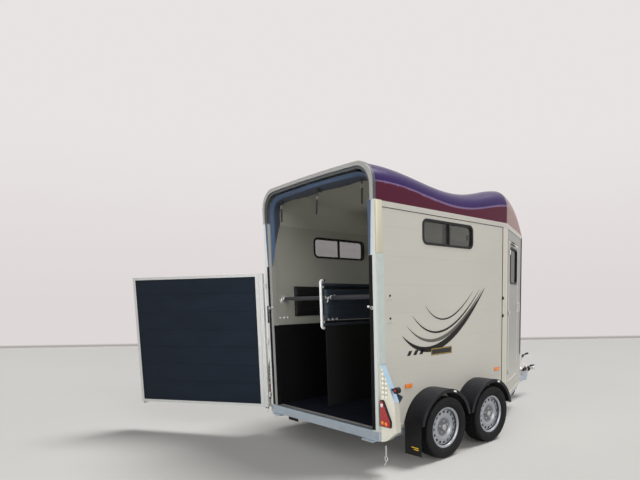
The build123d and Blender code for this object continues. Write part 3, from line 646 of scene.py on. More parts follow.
@dataclass(frozen=True)
class Framed(Finish):
    """A blank plate with a yellow line inside its edge."""

    line_colour: Colour = screen(214, 176, 40)
    centre: Pair = (0.86 + REAR, 1.010 + GROUND)
    half: Pair = (0.152, 0.027)

    def make(self) -> Material:
        """The line follows the distance from the plate's middle."""
        graph = self.graph()
        x, _, z = graph.axes()
        out = ((x - self.centre[0]).size() - self.half[0]).most((z - self.centre[1]).size() - self.half[1])
        line = out.line(0.0, 0.0016, 0.0006)
        grain = graph.noise(500.0, 2.0)
        colour = graph.mix(line, self.colour, self.line_colour)
        return self.finished(graph, colour, grain * 0.1, (grain, 0.0002, 0.3))


@dataclass(frozen=True)
class Banded(Finish):
    """Trim with a pale outer band and a darker lip set forward of it."""

    low_colour: Colour = (0.05, 0.05, 0.05)
    step_at: float = REAR - 0.033

    def make(self) -> Material:
        """The tone follows how far back the surface stands, with a fine grain."""
        graph = self.graph()
        x, _, _ = graph.axes()
        grain = graph.noise(600.0, 2.0)
        cloud = graph.noise(6.0, 3.0)
        lip = x.step(self.step_at, self.step_at + 0.002)
        colour = self.shades(graph, cloud * 0.4, 0.92, 1.05)
        colour = graph.mix(lip, colour, self.low_colour)
        return self.finished(graph, colour, grain * 0.12, (grain, 0.0003, 0.4))


@dataclass(frozen=True)
class Galvanised(Finish):
    """Hot-dip zinc with its spangle."""

    spangle: float = 160.0

    def make(self) -> Material:
        """Each crystal has its own grey and gloss, under a cloudy bloom."""
        graph = self.graph()
        crystal = graph.cells(self.spangle)
        bloom = graph.noise(12.0, 3.0)
        colour = self.shades(graph, crystal * 0.5, 0.82, 1.16)
        colour = graph.mix(bloom.step(0.5, 0.8) * 0.35, colour, tint(self.colour, 1.25))
        return self.finished(graph, colour, crystal * 0.16 + bloom * 0.1, (graph.noise(220.0, 2.0), 0.0004, 0.5),
                             Metallic=0.75)


@dataclass(frozen=True)
class Anodised(Finish):
    """Satin anodised aluminium, drawn along one axis."""

    drawn: Triple = (1.0, 1.0, 0.02)
    cloud: float = 5.0
    light: float = 1.08
    metal: float = 0.6

    def make(self) -> Material:
        """Fine lines along the way the profile was drawn."""
        graph = self.graph()
        lines = graph.noise(700.0, 2.0, self.drawn)
        cloud = graph.noise(self.cloud, 2.0)
        colour = self.shades(graph, lines * 0.4 + cloud * 0.3, 0.9, self.light)
        return self.finished(graph, colour, lines * 0.12, (lines, 0.0002, 0.4), Metallic=self.metal)


@dataclass(frozen=True)
class Moulded(Finish):
    """Moulded plastic with a fine leather grain."""

    grain: float = 900.0
    depth: float = 0.0005
    dust: float = 0.2

    def make(self) -> Material:
        """A grain of small cells, and dust that settles on what faces up."""
        graph = self.graph()
        _, _, up = graph.facing()
        grain = graph.noise(self.grain, 2.0)
        cloud = graph.noise(14.0, 3.0)
        settled = up.step(0.2, 1.0) * cloud.step(0.3, 0.8) * self.dust
        colour = graph.mix(settled, self.colour, tint(self.colour, 5.0))
        colour = graph.mix(cloud.step(0.4, 0.9) * 0.25, colour, tint(self.colour, 1.5))
        return self.finished(graph, colour, grain * 0.14, (grain, self.depth, 0.5), Specular_IOR_Level=0.3)


@dataclass(frozen=True)
class Ribbed(Finish):
    """A sheet with fine ribs or a tread pattern, such as a rubber lining or a floor."""

    pitch: float = 0.012
    along: int = 2

    def make(self) -> Material:
        """Ribs across one axis, with painted shade in the grooves between them, a little worn and dusty."""
        graph = self.graph()
        axis = graph.axes()[self.along] + PHASE
        rib = axis.wave(self.pitch).step(self.pitch * 0.12, self.pitch * 0.3)
        wear = graph.noise(7.0, 4.0)
        # Painted shade: the grooves between the raised ribs are darker.
        colour = self.shades(graph, rib * 0.4, 0.7, 1.35)
        colour = graph.mix(wear.step(0.5, 0.85) * 0.3, colour, tint(self.colour, 1.8))
        return self.finished(graph, colour, wear * 0.2, (rib, 0.0008, 0.7), Specular_IOR_Level=0.2)


@dataclass(frozen=True)
class Planked(Finish):
    """Smooth boards that lie flat beside each other, with a narrow groove between them."""

    plank: float = 0.204
    start: float = 0.0

    def make(self) -> Material:
        """Grooves every plank, with a faint painted sheen, lighter and of another roughness, that changes from plank
        to plank.
        """
        graph = self.graph()
        _, _, z = graph.axes()
        groove = (z - self.start + 10 * self.plank).wave(self.plank).step(0.0032, 0.0012)
        plank_sheen = graph.noise(2.2, 4.0, (1.0, 1.0, 3.0))
        grain = graph.noise(420.0, 2.0, (0.2, 0.2, 1.0))
        # Painted sheen: some planks are lighter.
        colour = graph.mix(plank_sheen.step(0.3, 0.75) * 0.6, self.colour, tint(self.colour, 1.5))
        colour = graph.mix(groove * 0.6, colour, tint(self.colour, 0.35))
        height = (1.0 - groove) + grain * 0.04
        return self.finished(graph, colour, plank_sheen * 0.18, (height, 0.0015, 0.8), Specular_IOR_Level=0.15)


@dataclass(frozen=True)
class Vinyl(Finish):
    """Coated cloth over foam, with a woven backing that shows through."""

    weave: float = 480.0
    sheen: float = 0.3

    def make(self) -> Material:
        """Crossed threads, soft creases with painted light and shade on them, and a dusty sheen."""
        graph = self.graph()
        x, y, z = graph.axes()
        warp = ((x + y) * self.weave * math.tau).sine()
        weft = ((z + y) * self.weave * math.tau).sine()
        threads = warp * weft * 0.5 + 0.5
        crease = graph.noise(18.0, 4.0, (1.0, 1.0, 1.6))
        # Painted light and shade: the colour follows the creases' height, lighter on top and darker in the hollows.
        colour = self.shades(graph, crease.step(0.25, 0.8), 0.75, 1.35)
        colour = graph.mix(threads * 0.12, colour, tint(self.colour, 1.8))
        height = crease * 0.8 + threads * 0.2
        return self.finished(graph, colour, crease * 0.15, (height, 0.002, 0.5), Sheen_Weight=self.sheen)


@dataclass(frozen=True)
class TyreRubber(Finish):
    """Road rubber with moulded rings on its sidewall, turned about each wheel's axle."""

    axle: Pair = (0.0, 0.0)

    def make(self) -> Material:
        """Rings by the distance from the axle, and road dust."""
        graph = self.graph()
        out = graph.around(self.axle)
        ring = out.wave(0.0075).step(0.0012, 0.0026)
        band = out.line(0.236, 0.022, 0.004)
        dust = graph.noise(30.0, 4.0)
        colour = graph.mix(dust.step(0.45, 0.8) * 0.25, self.colour, (0.045, 0.042, 0.04))
        height = ring * (1.0 - band) * 0.5 + graph.noise(700.0, 2.0) * 0.2
        return self.finished(graph, colour, dust * 0.15, (height, 0.0008, 0.7), Specular_IOR_Level=0.2)


@dataclass(frozen=True)
class WheelPaint(Finish):
    """Silver paint on pressed steel, with brake dust, and painted shade in the vents, round the hub, under the flange
    and on the back.
    """

    drum_colour: Colour = (0.012, 0.012, 0.012)
    axle: Pair = (0.0, 0.0)

    def make(self) -> Material:
        """Fine flakes on the disc, and painted shade: dark pockets where it is vented, a darker hub, a dark gap under
        the flange and a dark, dull back.
        """
        graph = self.graph()
        _, y, _ = graph.axes()
        flake = graph.cells(1800)
        dust = graph.noise(26.0, 4.0)
        depth = y.size() - TRACK_HALF
        out = graph.around(self.axle)
        # Painted shade: the vents' pockets are dark, as holes that show the shaded drum, and so is the wheel's back.
        vent_and_back_shade = depth.step(0.0460, 0.0446) * out.line(0.149, 0.0135, 0.001)
        vent_and_back_shade = vent_and_back_shade.most(depth.step(0.012, 0.004))
        # Painted shade in the gap between the flange and the disc, and over the sunken hub.
        flange_gap_shade = out.line(0.1742, 0.0030, 0.0008) * depth.step(0.066, 0.058) * 0.75
        shade = (depth.step(0.052, 0.032) * 0.6).most(flange_gap_shade)
        colour = self.shades(graph, flake * 0.3, 0.9, 1.15)
        colour = graph.mix(dust.step(0.5, 0.85) * 0.35, colour, tint(self.colour, 0.5))
        colour = graph.mix(shade.most(vent_and_back_shade), colour, self.drum_colour)
        return self.finished(graph, colour, dust * 0.15 + vent_and_back_shade * 0.3, (dust, 0.0003, 0.4),
                             Metallic=(1.0 - vent_and_back_shade) * 0.55, Coat_Weight=0.2, Coat_Roughness=0.2)


@dataclass(frozen=True)
class Lens(Finish):
    """Moulded lamp lens with crossed flutes behind its smooth face."""

    pitch: float = 0.006

    def make(self) -> Material:
        """Flutes across y and z, with painted light and shade along them, under a smooth glossy face."""
        graph = self.graph()
        _, y, z = graph.axes()
        flutes = (y + 5.0).wave(self.pitch) + (z + 5.0).wave(self.pitch)
        # Painted light and shade: the flutes are drawn as lighter and darker bands.
        shade = (flutes * (1 / self.pitch)).step(0.1, 0.9)
        colour = self.shades(graph, shade * 0.5, 0.7, 1.25)
        return graph.surface(Base_Color=colour, Roughness=self.roughness, Coat_Weight=1.0, Coat_Roughness=0.04,
                             Normal=graph.bump(shade, 0.001, 0.4))


@dataclass(frozen=True)
class SmokedGlass(Finish):
    """Tinted acrylic that lets part of the light through."""

    see_through: float = 0.55
    gloss: float = 1.0

    def make(self) -> Material:
        """A clear glossy skin over a thin tint, with faint wiping marks."""
        graph = self.graph()
        wiping = graph.noise(6.0, 3.0, (1.0, 1.0, 2.5))
        haze = wiping.step(0.4, 0.9) * 0.06
        return graph.surface(Base_Color=self.colour, Roughness=haze + self.roughness,
                             Alpha=haze + (1.0 - self.see_through), Coat_Weight=self.gloss, Coat_Roughness=0.02,
                             Specular_IOR_Level=self.gloss * 0.5)


@dataclass(frozen=True)
class Cloth(Finish):
    """Plain woven cloth that follows Object coordinates."""

    weave: float = 420.0
    shade: float = 0.0
    shade_from: float = REAR + 0.022

    def make(self) -> Material:
        """Crossed threads, painted light and shade on the folds, and painted shade that deepens forward of
        shade_from.
        """
        graph = self.graph()
        x, y, z = graph.axes()
        threads = ((y * self.weave * math.tau).sine() * ((x + z) * self.weave * math.tau).sine()) * 0.5 + 0.5
        folds = graph.noise(9.0, 3.0, (1.0, 0.4, 1.0))
        # Painted light and shade on the folds.
        colour = self.shades(graph, folds, 0.7, 1.4)
        # Painted shade: darker forward of shade_from, deep under the roof's rim.
        depth = x.step(self.shade_from, self.shade_from + 0.03) * self.shade
        colour = graph.mix(depth, colour, tint(self.colour, 0.12))
        return self.finished(graph, colour, threads * 0.1, (threads, 0.0004, 0.5), Sheen_Weight=0.1)


class Finishes:
    """Every finish of the trailer, each made once."""

    wall = PanelPaint("wall paint", screen(183, 180, 171), 0.42, inner_colour=screen(172, 172, 162))
    # The roof's nose colour is a painted warm reflection.
    roof = Gelcoat("roof gel coat", screen(44, 24, 80), 0.22, low_colour=screen(80, 20, 38),
                   nose_colour=screen(128, 78, 54), lining_colour=screen(194, 194, 181))
    cream_strip = Anodised("cream strip", screen(212, 208, 184), 0.36)
    post = PostMetal("post metal", screen(206, 208, 205), 0.34)
    # The lamp bracket's blue tone is a painted reflection of the sky.
    bracket = Bracket("lamp bracket metal", screen(168, 196, 216), 0.32)
    plate = Framed("blank plate", screen(24, 24, 24), 0.35)
    webbing = Cloth("webbing", screen(5, 5, 6), 0.7, weave=700.0)
    bar_vinyl = Vinyl("bar vinyl", screen(20, 20, 27), 0.42, sheen=0.1)
    bright = Anodised("bright plate", screen(236, 236, 234), 0.3, drawn=(1.0, 1.0, 1.0))
    rim_trim = Banded("roof edge trim", screen(150, 149, 146), 0.42, low_colour=screen(66, 70, 72))
    galvanised = Galvanised("galvanised steel", screen(186, 198, 208), 0.30)
    zinc = Galvanised("zinc plate", screen(196, 196, 196), 0.26, spangle=420.0)
    upright = Anodised("upright aluminium", screen(204, 206, 204), 0.34)
    rail = Anodised("rail aluminium", screen(200, 198, 190), 0.36, drawn=(0.02, 0.02, 1.0))
    floor = Ribbed("floor tread", screen(18, 22, 34), 0.6, pitch=0.016, along=0)
    lining = Ribbed("ribbed lining", screen(5, 5, 6), 0.6, pitch=0.02)
    door_board = Planked("door boards", screen(18, 25, 34), 0.5)
    black = Moulded("black plastic", screen(26, 26, 28), 0.42)
    guard = Moulded("mudguard plastic", screen(16, 17, 23), 0.42, grain=500.0)
    rubber = Moulded("black rubber", screen(22, 22, 22), 0.62, grain=300.0)
    chock = Moulded("chock plastic", screen(34, 40, 56), 0.4)
    groom_glass = SmokedGlass("dark acrylic", screen(18, 22, 22), 0.05, see_through=0.12, gloss=0.08)
    partition = Partition("partition tube", screen(226, 228, 228), 0.3)
    # The roll and the curtain are one canvas in two copies: the roll's dark navy is its painted shade and the
    # curtain's paler blue its painted light.
    roll = Cloth("curtain roll cloth", screen(20, 22, 40), 0.6)
    seal = Moulded("seal rubber", screen(6, 6, 7), 0.7, grain=300.0, dust=0.0)
    corner = Anodised("corner aluminium", screen(206, 203, 190), 0.36, cloud=6.0, light=1.06, metal=0.4)
    glass = SmokedGlass("smoked acrylic", screen(52, 54, 50), 0.05)
    red_lens = Lens("red lens", screen(158, 12, 18), 0.15)
    amber_lens = Lens("amber lens", screen(240, 128, 20), 0.18)
    clear_lens = Lens("clear lens", screen(214, 208, 204), 0.12)
    vinyl = Vinyl("pad vinyl", screen(26, 38, 50), 0.45, sheen=0.15)
    dark_vinyl = Vinyl("dark pad vinyl", screen(7, 7, 8), 0.5, sheen=0.0)
    # Painted light: the lit copy of the canvas, with painted shade deeper under the rim.
    curtain = Cloth("curtain cloth", screen(54, 72, 98), 0.6, shade=0.95)
    marking = Moulded("black marking film", screen(14, 13, 12), 0.4, grain=1500.0, depth=0.0001, dust=0.0)
    grey_marking = Moulded("grey marking film", screen(92, 88, 82), 0.3, grain=1500.0, depth=0.0001, dust=0.0)
    yellow_marking = Moulded("yellow marking film", screen(206, 168, 40), 0.4, grain=1500.0, depth=0.0001, dust=0.0)
    white_marking = Moulded("white marking film", screen(226, 226, 222), 0.3, grain=1500.0, depth=0.0001, dust=0.0)


# Meshes


def link(name: str, data: bpy.types.ID, matrix: Matrix | None = None) -> Object:
    """Put a mesh, a lamp or a camera into the scene.

    Args:
        name: the object's name.
        data: what the object shows.
        matrix: where it stands, or None for the origin.

    Returns:
        The object.
    """
    made = bpy.data.objects.new(name, data)
    if matrix:
        made.matrix_world = matrix
    bpy.context.scene.collection.objects.link(made)
    return made


def row(x: object, y: object, z: object) -> np.ndarray:
    """Points given from the rear plane, the centre line and the ground; single numbers are repeated.

    Args:
        x: metres forward of the body's rear plane.
        y: metres to the left of the centre line.
        z: metres above the ground.

    Returns:
        The points in the frame, along a new last axis.
    """
    return np.stack(np.broadcast_arrays(x, y, z), axis=-1) + DATUM


class Skin:
    """Surfaces gathered as whole arrays and put into one mesh."""

    def __init__(self) -> None:
        """Start with no surface."""
        self.points: list[np.ndarray] = []
        self.quads: list[np.ndarray] = []
        self.count = 0

    def grid(self, points: np.ndarray, wrap_u: bool = False, wrap_v: bool = False) -> "Skin":
        """Add a surface given as a grid of points.

        Args:
            points: an array of shape (u, v, 3).
            wrap_u: whether the last row joins the first.
            wrap_v: whether the last column joins the first.

        Returns:
            This skin.
        """
        rows, columns = points.shape[:2]
        u = np.arange(rows if wrap_u else rows - 1)
        v = np.arange(columns if wrap_v else columns - 1)
        a, b = np.meshgrid(u, v, indexing="ij")
        c = (a + 1) % rows
        d = (b + 1) % columns
        quads = np.stack([a * columns + b, c * columns + b, c * columns + d, a * columns + d], axis=-1)
        self.quads.append(quads.reshape(-1, 4) + self.count)
        self.points.append(points.reshape(-1, 3))
        self.count += rows * columns
        return self

    def turned(self, profile: Sequence[Pair], centre: Triple, axis: Triple, steps: int = 48) -> "Skin":
        """Add a profile turned about an axis: centre + axis * along + radius * (cos a, sin a).

        Args:
            profile: (radius, distance along the axis) points; it closes where it meets the axis.
            centre: the point that distances start from.
            axis: the axis, of any length.
            steps: how many steps round.

        Returns:
            This skin.
        """
        line = np.array(profile, float)
        way = np.array(axis, float) / np.linalg.norm(axis)
        other = np.array([0.0, 0.0, 1.0]) if abs(way[2]) < 0.9 else np.array([1.0, 0.0, 0.0])
        first = np.cross(way, other)
        first /= np.linalg.norm(first)
        second = np.cross(way, first)
        angles = np.linspace(0, math.tau, steps, endpoint=False)
        round_ = np.cos(angles)[:, None] * first + np.sin(angles)[:, None] * second
        return self.grid(centre + line[:, 1, None, None] * way + line[:, 0, None, None] * round_, wrap_v=True)

    def block(self, low: Triple, high: Triple, radius: float) -> "Skin":
        """Add a block with round edges: a ball of that radius carried to the block's eight corners.

        Args:
            low: the lowest corner.
            high: the highest corner.
            radius: radius of the edges.

        Returns:
            This skin.
        """
        low_corner, high_corner = np.array(low, float), np.array(high, float)
        centre = (low_corner + high_corner) / 2
        half = (high_corner - low_corner) / 2
        radius = min(radius, float(half.min()) * 0.98)
        bend = np.linspace(0, math.pi / 2, EDGE_POINTS)
        rise = np.concatenate([bend - math.pi / 2, bend])[:, None]
        turn = np.concatenate([bend + quarter * math.pi / 2 for quarter in range(4)])
        x_sign, y_sign, z_sign = (np.repeat(signs, EDGE_POINTS)
                                  for signs in ((1, -1, -1, 1), (1, 1, -1, -1), (-1, 1)))
        inner = half - radius
        x = np.cos(rise) * np.cos(turn) * radius + x_sign * inner[0]
        y = np.cos(rise) * np.sin(turn) * radius + y_sign * inner[1]
        z = np.sin(rise) * radius + z_sign[:, None] * inner[2] + 0 * x
        shell = np.stack([x, y, z], axis=-1)
        bottom = np.zeros((1, shell.shape[1], 3)) + [0, 0, -half[2]]
        top = np.zeros((1, shell.shape[1], 3)) + [0, 0, half[2]]
        return self.grid(np.concatenate([bottom, shell, top]) + centre, wrap_v=True)

    def plate(self, outline: np.ndarray, lift: Triple, edge: float) -> "Skin":
        """Add a flat plate: an outline carried along a lift, with its edges drawn in.

        Args:
            outline: the corners in order, of shape (n, 3).
            lift: the plate's thickness as a vector.
            edge: how far the edges are rounded.

        Returns:
            This skin.
        """
        ring = np.asarray(outline, float)
        up = np.array(lift, float)
        centre = ring.mean(axis=0)
        reach = np.linalg.norm(ring - centre, axis=1).mean()
        inner = centre + (ring - centre) * (1 - edge / reach)
        middle = np.zeros_like(ring) + centre
        rise = up * min(0.45, edge / float(np.linalg.norm(up)))
        return self.grid(np.stack([middle, inner, ring + rise, ring + up - rise, inner + up, middle + up]),
                         wrap_v=True)

    def studs(self, places: np.ndarray, axis: Triple, radius: float, height: float, sides: int = 10) -> "Skin":
        """Add a domed head at each place.

        Args:
            places: points of shape (n, 3).
            axis: which way the heads stand.
            radius: radius of a head.
            height: its height.
            sides: how many sides; six make a bolt.

        Returns:
            This skin.
        """
        head = [(0.0, 0.0), (radius, 0.0), (radius, height * 0.5), (radius * 0.7, height * 0.9), (0.0, height)]
        for place in np.atleast_2d(places):
            self.turned(head, place, axis, sides)
        return self

    def ring(self, centre: Triple, axis: Triple, radius: float, thickness: float, sides: int = 20) -> "Skin":
        """Add a ring: a small circle turned about an axis.

        Args:
            centre: its centre.
            axis: its axis.
            radius: radius of the middle of its section.
            thickness: radius of its section.
            sides: how many steps round.

        Returns:
            This skin.
        """
        around = np.linspace(0, math.tau, 9)
        section = [(radius + thickness * math.cos(a), thickness * math.sin(a)) for a in around]
        return self.turned(section, centre, axis, sides)

    def mirrored(self) -> "Skin":
        """Add a mirror image, about the centre line, of everything gathered so far.

        Returns:
            This skin.
        """
        faces = [quads[:, ::-1] + self.count for quads in self.quads]
        copies = [points * [1.0, -1.0, 1.0] for points in self.points]
        self.points += copies
        self.quads += faces
        self.count *= 2
        return self

    def turned_about(self, pivot: Triple, angle: float) -> "Skin":
        """Turn everything gathered so far about an upright line.

        Args:
            pivot: a point of the line.
            angle: the turn in degrees.

        Returns:
            This skin.
        """
        turn = math.radians(angle)
        matrix = np.array([[math.cos(turn), -math.sin(turn), 0], [math.sin(turn), math.cos(turn), 0], [0, 0, 1]])
        centre = np.array(pivot, float)
        self.points = [(points - centre) @ matrix.T + centre for points in self.points]
        return self

    def tube(self, path: np.ndarray, radius: float | np.ndarray, sides: int = 12,
             up: Triple = (0, 1, 0)) -> "Skin":
        """Add a round tube along a path, closed at both ends.

        Each ring is path + radius * (cos a * side + sin a * other), where side is across the path
        and the fixed direction up.

        Args:
            path: points of shape (n, 3).
            radius: one radius, or one for each point.
            sides: how many sides.
            up: a direction that the path never runs along.

        Returns:
            This skin.
        """
        path = np.asarray(path, float)
        ahead = np.gradient(path, axis=0)
        ahead /= np.linalg.norm(ahead, axis=1)[:, None]
        side = np.cross(ahead, np.array(up, float))
        side /= np.linalg.norm(side, axis=1)[:, None]
        other = np.cross(side, ahead)
        angles = np.linspace(0, math.tau, sides, endpoint=False)
        size = np.broadcast_to(np.asarray(radius, float), (len(path),))[:, None, None]
        middles = np.repeat(path[:, None, :], sides, axis=1)
        rings = middles + size * (np.cos(angles)[:, None] * side[:, None, :]
                                  + np.sin(angles)[:, None] * other[:, None, :])
        return self.grid(np.concatenate([middles[:1], rings, middles[-1:]]), wrap_v=True)

    def build(self, name: str, finish: Finish, slot: str, body: str = "trailer", sharp: float = 35.0,
              closed: bool = True) -> Object:
        """Put everything gathered so far into one object that rides on a body.

        Args:
            name: the object's name.
            finish: its finish.
            slot: the record's material slot; not used.
            body: the body that it rides on.
            sharp: the angle in degrees past which an edge stays sharp.
            closed: whether its faces are turned outwards.

        Returns:
            The object.
        """
        mesh = bpy.data.meshes.new(name)
        points = np.concatenate(self.points)
        quads = np.concatenate(self.quads)
        mesh.vertices.add(len(points))
        mesh.vertices.foreach_set("co", points.astype(np.float32).ravel())
        mesh.loops.add(quads.size)
        mesh.loops.foreach_set("vertex_index", quads.astype(np.int32).ravel())
        mesh.polygons.add(len(quads))
        mesh.polygons.foreach_set("loop_start", np.arange(0, quads.size, 4, dtype=np.int32))
        mesh.update(calc_edges=True)
        work = bmesh.new()
        work.from_mesh(mesh)
        bmesh.ops.remove_doubles(work, verts=work.verts, dist=1e-6)
        bmesh.ops.dissolve_degenerate(work, dist=1e-7, edges=work.edges)
        if closed:
            bmesh.ops.recalc_face_normals(work, faces=work.faces)
        work.to_mesh(mesh)
        work.free()
        mesh.validate()
        mesh.polygons.foreach_set("use_smooth", np.ones(len(mesh.polygons), bool))
        mesh.set_sharp_from_angle(angle=math.radians(sharp))
        made = link(name, mesh)
        mesh.materials.append(finish.material())
        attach(made, body)
        return made


def rounded(corners: np.ndarray, radius: float, steps: int = 6) -> np.ndarray:
    """An outline with its corners rounded by parabolas.

    Each corner is (1-t)^2 * start + 2t(1-t) * corner + t^2 * end, where start and end lie that
    radius away along its two edges.

    Args:
        corners: the corners in order, of shape (n, 2) or (n, 3).
        radius: how far each corner is cut back.
        steps: how many points make a corner.

    Returns:
        The points of the outline.
    """
    corner = np.asarray(corners, float)
    before = np.roll(corner, 1, axis=0) - corner
    after = np.roll(corner, -1, axis=0) - corner
    start = corner + before / np.linalg.norm(before, axis=1)[:, None] * radius
    end = corner + after / np.linalg.norm(after, axis=1)[:, None] * radius
    t = np.linspace(0, 1, steps)[None, :, None]
    curve = (1 - t) ** 2 * start[:, None] + 2 * t * (1 - t) * corner[:, None] + t ** 2 * end[:, None]
    return curve.reshape(-1, corner.shape[1])


def bezier(points: Sequence[Pair], steps: int) -> np.ndarray:
    """A cubic curve through four control points.

    Args:
        points: the control points.
        steps: how many points to give.

    Returns:
        The points, of shape (steps, 2).
    """
    a, b, c, d = np.array(points, float)
    t = np.linspace(0, 1, steps)[:, None]
    return (1 - t) ** 3 * a + 3 * (1 - t) ** 2 * t * b + 3 * (1 - t) * t ** 2 * c + t ** 3 * d


def corner_panel(along: Sequence[float], out: float, height: object) -> np.ndarray:
    """Points on the right front corner panel.

    Args:
        along: distances from the side wall's front corner.
        out: how far outside the panel's face.
        height: heights over the ground.

    Returns:
        The points in the frame.
    """
    c, s = NOSE_RUN / NOSE_EDGE, NOSE_INSET / NOSE_EDGE
    along = np.asarray(along, float)
    return row(SIDE_LENGTH + along * c + out * s, -HALF_BODY + along * s - out * c, height)


def corner_lift(out: float) -> Triple:
    """A step straight out of the right front corner panel.

    Args:
        out: its length.

    Returns:
        The step.
    """
    return (out * NOSE_INSET / NOSE_EDGE, -out * NOSE_RUN / NOSE_EDGE, 0.0)


def paint(node: str, finish: Finish) -> None:
    """Give a CAD node a finish.

    Args:
        node: the node's name.
        finish: its finish.
    """
    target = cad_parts[node]
    target.data.materials.clear()
    target.data.materials.append(finish.material())


def middle(node: str) -> np.ndarray:
    """The centre of a CAD node's box.

    Args:
        node: the node's name.

    Returns:
        The centre.
    """
    low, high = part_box(node)
    return (np.array(low) + np.array(high)) / 2


# The studio


@dataclass
class PhotoCamera:
    """The camera where the photograph was taken from.

    The values are for an image of 640 by 480 pixels: the lens in pixels, and where its axis meets
    the image. Angles are in degrees; the yaw is from straight ahead, the pitch is downwards.
    """

    width: float = 640.0
    height: float = 480.0
    focal: float = 487.04
    axis_x: float = 395.0
    axis_y: float = 360.0
    yaw: float = 45.172
    pitch: float = 6.916
    roll: float = -0.928
    place: Triple = (-2.867, -3.962, 1.508)
    film: float = 36.0

    def build(self) -> None:
        """Make the camera and use it."""
        yaw, pitch, roll = (math.radians(value) for value in (self.yaw, self.pitch, self.roll))
        ahead = Vector((math.cos(pitch) * math.cos(yaw), math.cos(pitch) * math.sin(yaw), -math.sin(pitch)))
        level = Vector((math.sin(yaw), -math.cos(yaw), 0.0))
        upright = level.cross(ahead)
        right = math.cos(roll) * level + math.sin(roll) * upright
        up = math.cos(roll) * upright - math.sin(roll) * level
        data = bpy.data.cameras.new("photo camera")
        data.sensor_width = self.film
        data.lens = self.focal * self.film / self.width
        data.shift_x = (self.width / 2 - self.axis_x) / self.width
        data.shift_y = (self.axis_y - self.height / 2) / self.width
        data.clip_end = 200.0
        turn = Matrix((right, up, -ahead)).transposed().to_4x4()
        bpy.context.scene.camera = link("photo camera", data, Matrix.Translation(at(*self.place)) @ turn)
        log.info("camera at %s", self.place)


